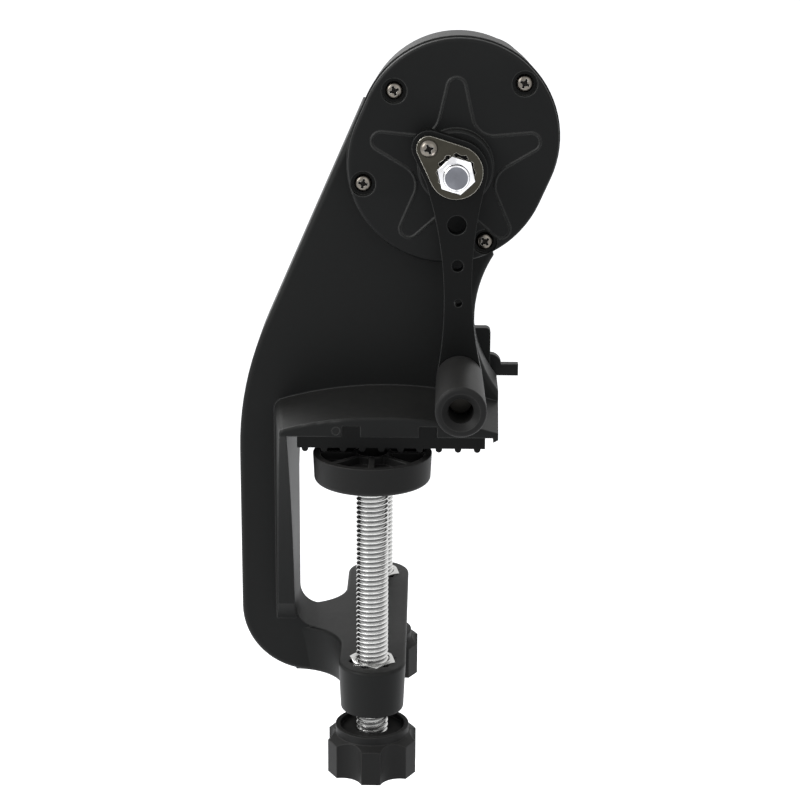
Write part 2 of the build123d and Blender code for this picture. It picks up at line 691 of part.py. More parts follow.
def clamp_washer(y):
    """Retaining washer riveted on the screw's neck above the pad's web."""
    floor = PAD_BOTTOM + PAD_SOCKET_DEPTH + PAD_WEB + SEAT_GAP
    disc = rod_z(WASHER_R, 0, y, floor, floor + WASHER_THICKNESS)
    return disc - rod_z(SCREW_NECK_R, 0, y, floor, floor + WASHER_THICKNESS)


def clamp_pad(y):
    """Swivel pad: a shallow dish with radial ribs round a hub."""
    lower = PAD_R - PAD_TAPER
    profile = make_face(Polyline((0, PAD_BOTTOM), (lower, PAD_BOTTOM), (PAD_R, PAD_TOP), (0, PAD_TOP),
                                 close=True))
    pad = revolve(Plane.XZ * profile, Axis.Z)
    pad = fillet(pad.edges().group_by(Axis.Z)[0], PAD_EDGE_R)
    dish_floor = PAD_TOP - PAD_DISH
    dish = rod_z(PAD_R - PAD_RIM, 0, 0, dish_floor, PAD_TOP)
    dish -= rod_z(PAD_HUB_R, 0, 0, dish_floor, PAD_TOP)
    for index in range(PAD_RIBS):
        rib = Pos((PAD_R + PAD_HUB_R) / 2, 0, (dish_floor + PAD_TOP) / 2) * Box(
            PAD_R - PAD_HUB_R + 1, PAD_RIB_WIDTH, PAD_DISH)
        dish -= Rot(0, 0, 360 * index / PAD_RIBS) * rib
    pad -= dish
    web_floor = PAD_BOTTOM + PAD_SOCKET_DEPTH
    pad -= rod_z(SCREW_R + SEAT_GAP, 0, 0, PAD_BOTTOM, web_floor)
    pad -= rod_z(SCREW_NECK_R + RUNNING_CLEARANCE, 0, 0, web_floor, web_floor + PAD_WEB)
    pad -= rod_z(WASHER_R + SEAT_GAP, 0, 0, web_floor + PAD_WEB, PAD_TOP)
    return Pos(0, y, 0) * pad


def clamp_knob(y):
    """Star knob with flat-faced lobes, scallops between them and a hollow collar on top."""
    lobes = Circle(KNOB_R) & RegularPolygon(KNOB_FLAT, KNOB_LOBES, major_radius=False)
    for index in range(KNOB_LOBES):
        lobes -= Rot(0, 0, 360 * index / KNOB_LOBES) * Pos(SCALLOP_CENTRE_R, 0) * Circle(SCALLOP_R)
    star = extrude(Plane.XY.offset(KNOB_BOTTOM) * lobes, amount=KNOB_HEIGHT)
    roof = make_face(Polyline(
        (0, KNOB_BOTTOM), (KNOB_R, KNOB_BOTTOM), (KNOB_R, KNOB_TOP - KNOB_SHOULDER_DROP),
        (KNOB_COLLAR_R, KNOB_TOP), (0, KNOB_TOP), close=True))
    star &= revolve(Plane.XZ * roof, Axis.Z)
    rim = KNOB_TOP + KNOB_COLLAR_HEIGHT
    star += rod_z(KNOB_COLLAR_R, 0, 0, KNOB_TOP - KNOB_SHOULDER_DROP, rim)
    star -= rod_z(KNOB_COLLAR_R - KNOB_COLLAR_WALL, 0, 0, rim - KNOB_RECESS_DEPTH, rim)
    star -= rod_z(SCREW_R, 0, 0, KNOB_TOP - KNOB_SOCKET_DEPTH, rim)
    return Pos(0, y, 0) * star


# ---------------------------------------------------------------- gear case
def star_outline(inset):
    """Five-armed star with round tips and hollow sides, drawn in by a margin."""
    def place(radius, angle, aside):
        turn = math.radians(angle)
        return (radius * math.cos(turn) - aside * math.sin(turn),
                radius * math.sin(turn) + aside * math.cos(turn))
    edges = []
    step = 360 / STAR_ARMS
    tip_r = STAR_TIP_R - inset
    for index in range(STAR_ARMS):
        heading = 90 + step * index
        centre = STAR_R - STAR_TIP_R
        right = place(centre, heading, -tip_r)
        left = place(centre, heading, tip_r)
        edges.append(ThreePointArc(right, place(STAR_R - inset, heading, 0), left))
        valley = place(STAR_VALLEY_R - inset, heading + step / 2, 0)
        edges.append(ThreePointArc(left, valley, place(centre, heading + step, -tip_r)))
    return make_face(edges)


def star_relief():
    """Star line sunk into the cover's face."""
    line = star_outline(0.0) - star_outline(STAR_GROOVE_WIDTH)
    return along_y(Pos(CRANK_X, CRANK_Z) * line, COVER_FRONT, COVER_FRONT + STAR_GROOVE_DEPTH)


def gear_cover():
    """Oval cover with the crank's hub boss, bush seats and four sunk screw holes."""
    cover = along_y(oval(HEAD_R - COVER_INSET), COVER_FRONT, CASE_FRONT)
    cover = fillet(cover.edges().group_by(Axis.Y)[0], COVER_EDGE_R)
    spigot = along_y(oval(HEAD_R - CASE_WALL - SPIGOT_CLEARANCE), CASE_FRONT, CASE_FRONT + SPIGOT_DEPTH)
    for x, z in COVER_SCREWS:
        spigot -= rod_y(SCREW_BOSS_R + SPIGOT_CLEARANCE, x, z, CASE_FRONT, CASE_FRONT + SPIGOT_DEPTH)
    cover += spigot
    cover += rod_y(HUB_BOSS_R, CRANK_X, CRANK_Z, HUB_FRONT, CASE_FRONT + INNER_BOSS_DEPTH)
    pocket_floor = CASE_FRONT - POCKET_DEPTH
    cover += rod_y(POCKET_BOSS_R, SPINDLE_X, SPINDLE_Z, CASE_FRONT, pocket_floor + POCKET_BUSH_LENGTH)
    cover -= rod_y(BUSH_R, CRANK_X, CRANK_Z, HUB_FRONT, CASE_FRONT + INNER_BOSS_DEPTH)
    cover -= rod_y(POCKET_BUSH_R, SPINDLE_X, SPINDLE_Z, pocket_floor, pocket_floor + POCKET_BUSH_LENGTH)
    for x, z in COVER_SCREWS:
        cover -= rod_y(COUNTERBORE_R, x, z, COVER_FRONT, COVER_FRONT + COUNTERBORE_DEPTH)
        cover -= rod_y(SMALL_SCREW_R + SMALL_SCREW_CLEARANCE, x, z, COVER_FRONT, CASE_FRONT)
    return cover - star_relief()


def cover_screws():
    """Four screws sunk in the cover."""
    seat = COVER_FRONT + COUNTERBORE_DEPTH
    reach = COVER_SCREW_LENGTH + CASE_FRONT - seat - SCREW_TIP_GAP
    return [front_screw(x, z, seat, reach) for x, z in COVER_SCREWS]


def crank_bush_front():
    """Flanged bush through the cover's hub."""
    back = CASE_FRONT + INNER_BOSS_DEPTH
    bore = SHAFT_R + RUNNING_CLEARANCE
    bush = ring_y(BUSH_R, bore, CRANK_X, CRANK_Z, HUB_FRONT, back)
    return bush + ring_y(BUSH_FLANGE_R, bore, CRANK_X, CRANK_Z, back, back + BUSH_FLANGE)


def crank_bush_rear():
    """Flanged bush in the floor of the gear case."""
    bore = SHAFT_R + RUNNING_CLEARANCE
    end = CASE_FLOOR + REAR_BUSH_LENGTH
    bush = ring_y(BUSH_R, bore, CRANK_X, CRANK_Z, CASE_FLOOR, end)
    return bush + ring_y(BUSH_FLANGE_R, bore, CRANK_X, CRANK_Z, CASE_FLOOR - BUSH_FLANGE, CASE_FLOOR)


def spindle_bush_front():
    """Plain bush in the cover's blind pocket."""
    floor = CASE_FRONT - POCKET_DEPTH
    return ring_y(POCKET_BUSH_R, SPINDLE_END_R + RUNNING_CLEARANCE, SPINDLE_X, SPINDLE_Z,
                  floor, floor + POCKET_BUSH_LENGTH)


def spindle_bush_rear():
    """Flanged bush where the spindle leaves the frame."""
    bore = SPINDLE_R + RUNNING_CLEARANCE
    end = PLATE_BACK + SPINDLE_BOSS_HEIGHT
    bush = ring_y(SPINDLE_BUSH_R, bore, SPINDLE_X, SPINDLE_Z, CASE_FLOOR, end)
    return bush + ring_y(BUSH_FLANGE_R, bore, SPINDLE_X, SPINDLE_Z, end, end + SPINDLE_BUSH_FLANGE)


def drive_gear():
    """Crank-side gear with a thinned web and a round of holes."""
    turned = Pos(CRANK_X, CRANK_Z) * Rot(0, 0, MESH_ANGLE) * gear_profile(DRIVE_TEETH)
    gear = along_y(turned, GEAR_FRONT, GEAR_BACK)
    rim_r = MODULE * DRIVE_TEETH / 2 - 1.25 * MODULE - DRIVE_RIM
    dip = (GEAR_WIDTH - DRIVE_WEB) / 2
    for low, high in ((GEAR_FRONT, GEAR_FRONT + dip), (GEAR_BACK - dip, GEAR_BACK)):
        gear -= ring_y(rim_r, DRIVE_HUB_R, CRANK_X, CRANK_Z, low, high)
    reach = (rim_r + DRIVE_HUB_R) / 2
    hole_r = (rim_r - DRIVE_HUB_R) * DRIVE_HOLE_SHARE / 2
    for index in range(DRIVE_HOLES):
        angle = math.radians(360 * index / DRIVE_HOLES)
        gear -= rod_y(hole_r, CRANK_X + reach * math.cos(angle), CRANK_Z + reach * math.sin(angle),
                      GEAR_FRONT, GEAR_BACK)
    front = CASE_FRONT + INNER_BOSS_DEPTH + BUSH_FLANGE + SEAT_GAP
    back = CASE_FLOOR - BUSH_FLANGE - SEAT_GAP
    gear += rod_y(DRIVE_HUB_R, CRANK_X, CRANK_Z, front, back)
    return gear - rod_y(SHAFT_R, CRANK_X, CRANK_Z, front, back)


def pinion_gear():
    """Pinion on the spindle, a little wider than the gear that drives it."""
    gap_turn = MESH_ANGLE + 180 + 180 / PINION_TEETH
    turned = Pos(SPINDLE_X, SPINDLE_Z) * Rot(0, 0, gap_turn) * gear_profile(PINION_TEETH)
    gear = along_y(turned, GEAR_FRONT - PINION_EXTRA / 2, GEAR_BACK + PINION_EXTRA / 2)
    back = CASE_FLOOR - SEAT_GAP
    gear += rod_y(SPINDLE_BUSH_R, SPINDLE_X, SPINDLE_Z, GEAR_BACK, back)
    return gear - rod_y(SPINDLE_R, SPINDLE_X, SPINDLE_Z, GEAR_FRONT - PINION_EXTRA / 2, back)


# ---------------------------------------------------------------- crank
def crank_shaft():
    """Shaft from the rear bush to the threaded end in the nut."""
    back = CASE_FLOOR + REAR_BUSH_LENGTH - SEAT_GAP
    shaft = rod_y(SHAFT_R, CRANK_X, CRANK_Z, ARM_BACK, back)
    flats = Circle(SHAFT_R) & Rectangle(2 * SHAFT_FLAT, 2 * SHAFT_R)
    tongue = Pos(CRANK_X, CRANK_Z) * Rot(0, 0, CRANK_TILT) * flats
    shaft += along_y(tongue, ARM_FRONT, ARM_BACK)
    thread_end = ARM_FRONT - CRANK_NUT_HEIGHT - CRANK_CROWN_BORE + SEAT_GAP
    return shaft + rod_y(SHAFT_THREAD_R, CRANK_X, CRANK_Z, thread_end, ARM_FRONT)


def arm_point(across, down):
    """A point on the crank arm from its own axes to X and Z."""
    angle = math.radians(CRANK_TILT)
    x = CRANK_X + across * math.cos(angle) + down * math.sin(angle)
    z = CRANK_Z + across * math.sin(angle) - down * math.cos(angle)
    return (x, z)


def crank_arm():
    """Waisted arm with a side lobe for the keeper's screw and three graded holes."""
    head_half = math.sqrt(ARM_HEAD_R ** 2 - ARM_SIDE_DROP ** 2)
    end_half = math.sqrt(ARM_END_R ** 2 - ARM_SIDE_RISE ** 2)
    foot = CRANK_THROW - ARM_SIDE_RISE
    blade = make_face([
        ThreePointArc(arm_point(-head_half, ARM_SIDE_DROP), arm_point(-ARM_WAIST, ARM_WAIST_AT),
                      arm_point(-end_half, foot)),
        Line(arm_point(-end_half, foot), arm_point(end_half, foot)),
        ThreePointArc(arm_point(end_half, foot), arm_point(ARM_WAIST, ARM_WAIST_AT),
                      arm_point(head_half, ARM_SIDE_DROP)),
        Line(arm_point(head_half, ARM_SIDE_DROP), arm_point(-head_half, ARM_SIDE_DROP)),
    ])
    lobe_r = KEEPER_SMALL_R + KEEPER_LOBE_MARGIN
    outline = blade + Pos(CRANK_X, CRANK_Z) * Circle(ARM_HEAD_R)
    outline += Pos(GRIP_X, GRIP_Z) * Circle(ARM_END_R)
    outline += lobe_hull(ARM_HEAD_R, lobe_r)
    arm = along_y(outline, ARM_FRONT, ARM_BACK)
    flats = Circle(SHAFT_R) & Rectangle(2 * SHAFT_FLAT, 2 * SHAFT_R)
    arm -= along_y(Pos(CRANK_X, CRANK_Z) * Rot(0, 0, CRANK_TILT) * flats, ARM_FRONT, ARM_BACK)
    for down, radius in ARM_HOLES:
        x, z = arm_point(0, down)
        arm -= rod_y(radius, x, z, ARM_FRONT, ARM_BACK)
    x, z = keeper_screw_place()
    arm -= rod_y(SMALL_SCREW_R, x, z, ARM_FRONT, ARM_FRONT + KEEPER_SCREW_LENGTH)
    return arm - rod_y(GRIP_PIN_R, GRIP_X, GRIP_Z, ARM_FRONT, ARM_BACK)


def keeper_screw_place():
    """Centre of the keeper's small screw."""
    return (CRANK_X + KEEPER_OFFSET_X, CRANK_Z + KEEPER_OFFSET_Z)


def lobe_hull(big_r, small_r):
    """Teardrop round the shaft and the keeper's screw."""
    big = Pos(CRANK_X, CRANK_Z) * Circle(big_r)
    x, z = keeper_screw_place()
    small = Pos(x, z) * Circle(small_r)
    distance = math.hypot(KEEPER_OFFSET_X, KEEPER_OFFSET_Z)
    heading = math.atan2(KEEPER_OFFSET_Z, KEEPER_OFFSET_X)
    swing = math.acos((big_r - small_r) / distance)
    corners = []
    for turn in (heading + swing, heading - swing):
        corners.append((CRANK_X + big_r * math.cos(turn), CRANK_Z + big_r * math.sin(turn)))
    for turn in (heading - swing, heading + swing):
        corners.append((x + small_r * math.cos(turn), z + small_r * math.sin(turn)))
    return big + small + make_face(Polyline(*corners, close=True))


def retainer_plate():
    """Keeper plate whose twelve-point hole holds the nut from turning."""
    points = hexagon(CRANK_NUT_FLATS + 2 * NUT_POINT_CLEARANCE) + hexagon(
        CRANK_NUT_FLATS + 2 * NUT_POINT_CLEARANCE, 30)
    plate = lobe_hull(KEEPER_BIG_R, KEEPER_SMALL_R) - Pos(CRANK_X, CRANK_Z) * points
    x, z = keeper_screw_place()
    plate -= Pos(x, z) * Circle(SMALL_SCREW_R)
    return along_y(plate, ARM_FRONT - KEEPER_THICKNESS, ARM_FRONT)


def retainer_screw():
    """Screw that holds the keeper plate to the arm."""
    x, z = keeper_screw_place()
    return front_screw(x, z, ARM_FRONT - KEEPER_THICKNESS, KEEPER_THICKNESS + KEEPER_SCREW_LENGTH)


def crank_nut():
    """Hexagon nut with a closed round crown."""
    face = ARM_FRONT - CRANK_NUT_HEIGHT
    nut = along_y(Pos(CRANK_X, CRANK_Z) * hexagon(CRANK_NUT_FLATS), face, ARM_FRONT)
    crown = rod_y(CRANK_CROWN_R, CRANK_X, CRANK_Z, face - CRANK_CROWN_HEIGHT, face)
    nut += fillet(crown.edges().group_by(Axis.Y)[0], CRANK_CROWN_EDGE_R)
    return nut - rod_y(SHAFT_THREAD_R, CRANK_X, CRANK_Z, face - CRANK_CROWN_BORE, ARM_FRONT)


def crank_knob():
    """Turning grip with a sunk end."""
    profile = make_face(Polyline((0, 0), (GRIP_BASE_R, 0), (GRIP_END_R, GRIP_LENGTH), (0, GRIP_LENGTH),
                                 close=True))
    grip = revolve(Plane.XZ * profile, Axis.Z)
    grip = fillet(grip.edges().group_by(Axis.Z)[-1], GRIP_EDGE_R)
    floor = GRIP_LENGTH - GRIP_COUNTERBORE_DEPTH
    grip -= Pos(0, 0, (floor + GRIP_LENGTH) / 2) * Cylinder(GRIP_COUNTERBORE_R, GRIP_COUNTERBORE_DEPTH)
    grip -= Pos(0, 0, floor / 2) * Cylinder(GRIP_PIN_R + RUNNING_CLEARANCE, floor)
    sink = Pos(0, 0, GRIP_LENGTH - GRIP_COUNTERSINK_DEPTH / 2)
    grip -= sink * Cone(GRIP_COUNTERBORE_R, GRIP_COUNTERSINK_R, GRIP_COUNTERSINK_DEPTH)
    return Pos(GRIP_X, GRIP_BACK, GRIP_Z) * Rot(90, 0, 0) * grip


def knob_pin():
    """Shouldered pin riveted in the arm that the grip turns on."""
    seat = GRIP_BACK - GRIP_LENGTH + GRIP_COUNTERBORE_DEPTH - SEAT_GAP
    pin = rod_y(GRIP_PIN_R, GRIP_X, GRIP_Z, seat, ARM_BACK)
    return pin + rod_y(GRIP_PIN_HEAD_R, GRIP_X, GRIP_Z, seat - GRIP_PIN_HEAD_HEIGHT, seat)


# ---------------------------------------------------------------- spindle side
def spindle_shaft():
    """Output shaft: journal in the cover, gear seat, plain spool seat between two reliefs, nose."""
    tip = CASE_FRONT - POCKET_DEPTH + SEAT_GAP
    neck = CASE_FRONT - POCKET_DEPTH + POCKET_BUSH_LENGTH + SEAT_GAP
    shoulder = SPINDLE_TIP - SPINDLE_END_LENGTH
    shaft = rod_y(SPINDLE_END_R, SPINDLE_X, SPINDLE_Z, tip, neck)
    shaft += rod_y(SPINDLE_R, SPINDLE_X, SPINDLE_Z, neck, shoulder)
    for low in (SPOOL_PLATE_TIP, SPOOL_SEAT_END):
        shaft -= ring_y(SPINDLE_R, SPINDLE_RELIEF_R, SPINDLE_X, SPINDLE_Z, low, low + SPINDLE_RELIEF_WIDTH)
    return shaft + rod_y(SPINDLE_END_R, SPINDLE_X, SPINDLE_Z, shoulder, SPINDLE_TIP)


def cone_solid(base_r, tip_r, y_base, y_tip):
    """A cone along Y on the spindle's axis."""
    length = abs(y_tip - y_base)
    turn = Rot(-90, 0, 0) if y_tip > y_base else Rot(90, 0, 0)
    return Pos(SPINDLE_X, (y_base + y_tip) / 2, SPINDLE_Z) * turn * Cone(base_r, tip_r, length)


def spool_plate():
    """Drive plate with a centring cone and two pegs for the spool's holes."""
    face = SPOOL_PLATE_BACK + SPOOL_PLATE_THICKNESS
    plate = rod_y(SPOOL_PLATE_R, SPINDLE_X, SPINDLE_Z, SPOOL_PLATE_BACK, face)
    plate += cone_solid(SPOOL_CONE_BASE_R, SPOOL_CONE_TIP_R, face, SPOOL_PLATE_TIP)
    for side in (-1, 1):
        plate += rod_y(DRIVE_PEG_R, SPINDLE_X + side * DRIVE_PEG_CIRCLE_R, SPINDLE_Z,
                       face, face + DRIVE_PEG_LENGTH)
    return plate - rod_y(SPINDLE_R, SPINDLE_X, SPINDLE_Z, SPOOL_PLATE_BACK, SPOOL_PLATE_TIP)


def spool_cone():
    """Loose cone that centres the spool's outer side."""
    base = CONE_FACE_Y + SPOOL_CONE_LENGTH
    cone = cone_solid(SPOOL_CONE_BASE_R, SPOOL_CONE_TIP_R, base, CONE_FACE_Y)
    cone += rod_y(SPOOL_CONE_BASE_R + SPOOL_FLANGE_STEP, SPINDLE_X, SPINDLE_Z, base, CONE_BACK_Y)
    return cone - rod_y(SPINDLE_R + RUNNING_CLEARANCE, SPINDLE_X, SPINDLE_Z, CONE_FACE_Y, CONE_BACK_Y)


def spool_nut():
    """Hand nut with scalloped sides that presses the cone."""
    low = CONE_BACK_Y + SEAT_GAP
    rim = Circle(SPOOL_NUT_R)
    for index in range(SPOOL_NUT_GRIPS):
        turn = Rot(0, 0, 360 * index / SPOOL_NUT_GRIPS)
        rim -= turn * Pos(SPOOL_NUT_R + SPOOL_NUT_GRIP_OUT, 0) * Circle(SPOOL_NUT_GRIP_R)
    rim -= Circle(SPINDLE_R + THREAD_CLEARANCE)
    return along_y(Pos(SPINDLE_X, SPINDLE_Z) * rim, low, low + SPOOL_NUT_HEIGHT)


# ---------------------------------------------------------------- reel seat
def hood_pocket(x_open, direction):
    """Space for the tip of a reel's foot under a hood."""
    x_closed = x_open + direction * HOOD_POCKET_LENGTH
    half = HOOD_POCKET_WIDTH / 2
    return block(min(x_open, x_closed), max(x_open, x_closed), TROUGH_FLOOR_Y,
                 SEAT_BACK + HOOD_POCKET_HEIGHT, TROUGH_Z - half, TROUGH_Z + half)


def trough(clearance):
    """The round trough that a reel's foot lies in, or what fills it with a clearance."""
    axis_y = TROUGH_FLOOR_Y + TROUGH_R
    rod = Cylinder(TROUGH_R - clearance, SEAT_LENGTH + 2 * OVERRUN)
    return Pos((SEAT_LEFT + SEAT_RIGHT) / 2, axis_y, TROUGH_Z) * Rot(0, 90, 0) * rod


def hood_shell(x_low, y_low):
    """Outside of a hood, from its left end and its lower face, with its back edges rounded."""
    shell = block(x_low, x_low + HOOD_LENGTH, y_low, SEAT_BACK + HOOD_HEIGHT, HOOD_BOTTOM, SEAT_TOP)
    return fillet(shell.edges().group_by(Axis.Y)[-1], HOOD_EDGE_R)


def reel_seat():
    """Saddle with a trough, one fixed hood and a T-slot for the sliding hood."""
    front_view = Pos((SEAT_LEFT + SEAT_RIGHT) / 2, SEAT_TOP / 2) * RectangleRounded(
        SEAT_LENGTH, SEAT_TOP, SEAT_CORNER_R)
    seat = along_y(front_view, PLATE_BACK, SEAT_BACK)
    seat -= along_y(arch(SEAT_LEFT, SEAT_ARCH_CLEARANCE), PLATE_BACK, SEAT_BACK)
    seat -= block(SEAT_LEFT - OVERRUN, SEAT_RIGHT + OVERRUN, PLATE_BACK, SEAT_BACK,
                  -OVERRUN, JAW_UNDERSIDE_Z + OVERRUN)
    seat -= trough(0.0)
    seat += hood_shell(SEAT_LEFT, TROUGH_FLOOR_Y)
    seat -= hood_pocket(SEAT_LEFT + HOOD_LENGTH, -1)
    tab_back = PLATE_BACK + SEAT_TAB_THICKNESS
    seat -= block(SEAT_TAB_START, SEAT_RIGHT + OVERRUN, tab_back, SEAT_BACK, 0, SEAT_TOP)
    slot_left = MOVING_HOOD_X - HOOD_SLIDE_IN - SLIDE_CLEARANCE
    slot_right = MOVING_HOOD_X + HOOD_LENGTH + HOOD_SLIDE_OUT + SLIDE_CLEARANCE - TONGUE_INSET
    half = TONGUE_WIDTH / 2 + SLIDE_CLEARANCE
    seat -= block(slot_left, slot_right, PLATE_BACK, SEAT_BACK, TROUGH_Z - half, TROUGH_Z + half)
    half = TONGUE_HEAD_WIDTH / 2 + SLIDE_CLEARANCE
    seat -= block(slot_left, slot_right, PLATE_BACK,
                  PLATE_BACK + TONGUE_HEAD_THICKNESS + 2 * SLIDE_CLEARANCE, TROUGH_Z - half, TROUGH_Z + half)
    for x, z in SEAT_SCREWS:
        seat -= rod_y(SMALL_SCREW_R + SMALL_SCREW_CLEARANCE, x, z, PLATE_BACK, tab_back)
        seat -= rod_y(SMALL_HEAD_R + SEAT_GAP, x, z, tab_back, SEAT_BACK)
    return seat - rod_y(LEVER_PIN_R, LEVER_PIVOT_X, LEVER_Z, PLATE_BACK, tab_back)


def seat_screws():
    """Three screws that hold the saddle to the frame."""
    seat_y = PLATE_BACK + SEAT_TAB_THICKNESS
    reach = SEAT_TAB_THICKNESS + SEAT_SCREW_LENGTH - SCREW_TIP_GAP
    return [rear_screw(x, z, seat_y, reach) for x, z in SEAT_SCREWS]


def foot_hood():
    """Sliding hood on a T-shaped tongue in the saddle's slot."""
    right = MOVING_HOOD_X + HOOD_LENGTH
    hood = hood_shell(MOVING_HOOD_X, SEAT_BACK + SLIDE_CLEARANCE)
    keel = block(MOVING_HOOD_X, right, TROUGH_FLOOR_Y, SEAT_BACK + OVERRUN, HOOD_BOTTOM, SEAT_TOP)
    hood += keel & trough(SLIDE_CLEARANCE)
    hood -= hood_pocket(MOVING_HOOD_X, 1)
    left = MOVING_HOOD_X + TONGUE_INSET
    foot = PLATE_BACK + SLIDE_CLEARANCE
    tongue_right = right - TONGUE_INSET
    stem = TONGUE_WIDTH / 2
    hood += block(left, tongue_right, foot, TROUGH_FLOOR_Y, TROUGH_Z - stem, TROUGH_Z + stem)
    hood += block(MOVING_HOOD_X + HOOD_POCKET_LENGTH, tongue_right, foot, SEAT_BACK,
                  TROUGH_Z - stem, TROUGH_Z + stem)
    head = TONGUE_HEAD_WIDTH / 2
    return hood + block(left, tongue_right, foot, foot + TONGUE_HEAD_THICKNESS,
                        TROUGH_Z - head, TROUGH_Z + head)


def hood_lever():
    """Small lock lever: pivot end, round boss and a short flat arm."""
    front = PLATE_BACK + SEAT_TAB_THICKNESS + SEAT_GAP
    link = block(LEVER_PIVOT_X, LEVER_X, front, front + LEVER_THICKNESS,
                 LEVER_Z - LEVER_PIVOT_R, LEVER_Z + LEVER_PIVOT_R)
    lever = link + rod_y(LEVER_HUB_R, LEVER_X, LEVER_Z, front, front + LEVER_THICKNESS)
    lever += rod_y(LEVER_PIVOT_R, LEVER_PIVOT_X, LEVER_Z, front, front + LEVER_THICKNESS)
    low = LEVER_Z - LEVER_HUB_R
    lever += block(LEVER_X, LEVER_X + LEVER_REACH, front, front + LEVER_THICKNESS,
                   low, low + LEVER_ARM_HEIGHT)
    return lever - rod_y(LEVER_PIN_R + RUNNING_CLEARANCE, LEVER_PIVOT_X, LEVER_Z,
                         front, front + LEVER_THICKNESS)


def lever_pin():
    """Headed pivot pin of the lock lever."""
    shoulder = PLATE_BACK + SEAT_TAB_THICKNESS + 2 * SEAT_GAP + LEVER_THICKNESS
    pin = rod_y(LEVER_PIN_R, LEVER_PIVOT_X, LEVER_Z, PLATE_BACK, shoulder)
    return pin + rod_y(LEVER_PIN_HEAD_R, LEVER_PIVOT_X, LEVER_Z, shoulder, shoulder + LEVER_PIN_HEAD_HEIGHT)


# ---------------------------------------------------------------- nodes
def nodes():
    """Every named piece of the winder."""
    made = {
        "body_frame": body_frame(),
        "gear_cover": gear_cover(),
        "cover_screws": cover_screws(),
        "crank_bush_front": crank_bush_front(),
        "crank_bush_rear": crank_bush_rear(),
        "spindle_bush_front": spindle_bush_front(),
        "spindle_bush_rear": spindle_bush_rear(),
        "drive_gear": drive_gear(),
        "pinion_gear": pinion_gear(),
        "crank_shaft": crank_shaft(),
        "crank_arm": crank_arm(),
        "retainer_plate": retainer_plate(),
        "retainer_screw": retainer_screw(),
        "crank_nut": crank_nut(),
        "crank_knob": crank_knob(),
        "knob_pin": knob_pin(),
        "jaw_insert": jaw_insert(),
        "insert_pins": insert_pins(),
        "spindle_shaft": spindle_shaft(),
        "spool_plate": spool_plate(),
        "spool_cone": spool_cone(),
        "spool_nut": spool_nut(),
        "reel_seat": reel_seat(),
        "seat_screws": seat_screws(),
        "foot_hood": foot_hood(),
        "hood_lever": hood_lever(),
        "lever_pin": lever_pin(),
    }
    for side, y in (("front", -SCREW_Y), ("rear", SCREW_Y)):
        made[f"clamp_nut_{side}"] = clamp_nut(y)
        made[f"clamp_screw_{side}"] = clamp_screw(y)
        made[f"clamp_washer_{side}"] = clamp_washer(y)
        made[f"clamp_pad_{side}"] = clamp_pad(y)
        made[f"clamp_knob_{side}"] = clamp_knob(y)
    return made


def main():
    """Write one STEP file for each piece."""
    os.makedirs("parts", exist_ok=True)
    for name, shape in nodes().items():
        if isinstance(shape, list):
            shape = Compound(children=shape)
        export_step(shape, f"parts/{name}.step")


if __name__ == "__main__":
    main()
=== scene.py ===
"""Looks for a hand-cranked fishing line winder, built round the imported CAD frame.

Everything is in metres and in the CAD's own frame: X runs right along the jaws, Y runs away
from the crank side and Z runs up.
"""

import json
import logging
import math
from dataclasses import dataclass, field, replace
from enum import Enum
from typing import Optional, Sequence

import bmesh
import bpy
from mathutils import Matrix, Vector


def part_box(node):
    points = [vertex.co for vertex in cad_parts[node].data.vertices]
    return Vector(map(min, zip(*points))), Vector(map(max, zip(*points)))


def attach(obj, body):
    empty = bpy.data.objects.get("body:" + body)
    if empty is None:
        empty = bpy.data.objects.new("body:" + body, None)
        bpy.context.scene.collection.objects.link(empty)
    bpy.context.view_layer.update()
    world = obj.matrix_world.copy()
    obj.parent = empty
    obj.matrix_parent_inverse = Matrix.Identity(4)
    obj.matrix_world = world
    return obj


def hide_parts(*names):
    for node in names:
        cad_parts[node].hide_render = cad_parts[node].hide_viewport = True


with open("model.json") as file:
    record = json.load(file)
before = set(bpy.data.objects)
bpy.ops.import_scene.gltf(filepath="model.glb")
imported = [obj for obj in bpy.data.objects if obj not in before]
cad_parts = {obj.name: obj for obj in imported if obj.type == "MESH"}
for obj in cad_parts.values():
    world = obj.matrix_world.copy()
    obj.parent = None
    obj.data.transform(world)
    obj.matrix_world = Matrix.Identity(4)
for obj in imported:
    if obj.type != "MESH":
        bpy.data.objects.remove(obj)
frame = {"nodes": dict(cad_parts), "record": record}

MM = 0.001
LOG = logging.getLogger("winder")
Colour = tuple[float, float, float]
Point = tuple[float, float, float]


class Relief(Enum):
    """What breaks up a surface."""

    MOULDED = "moulded"
    BRUSHED = "brushed"
    TURNED = "turned"


@dataclass(frozen=True)
class Finish:
    """One finish: its colours, gloss and relief. Sizes are in millimetres."""

    name: str
    colour: Colour
    roughness: float
    metallic: float = 0.0
    specular: float = 0.5
    relief: Relief = Relief.MOULDED
    grain: float = 0.35
    depth: float = 0.25
    variation: float = 0.25
    edge_radius: float = 0.35
    # edge_highlight_colour and edge_highlight_strength paint a light highlight along rounded edges
    edge_highlight_colour: Optional[Colour] = None
    edge_highlight_strength: float = 0.0
    dust: float = 0.0
    centre: Point = (0.0, 0.0, 0.0)
    # root_shade and root_shade_colour paint shade into the roots of a thread
    root_shade: Optional[tuple[float, float]] = None
    root_shade_colour: Colour = (0.0, 0.0, 0.0)
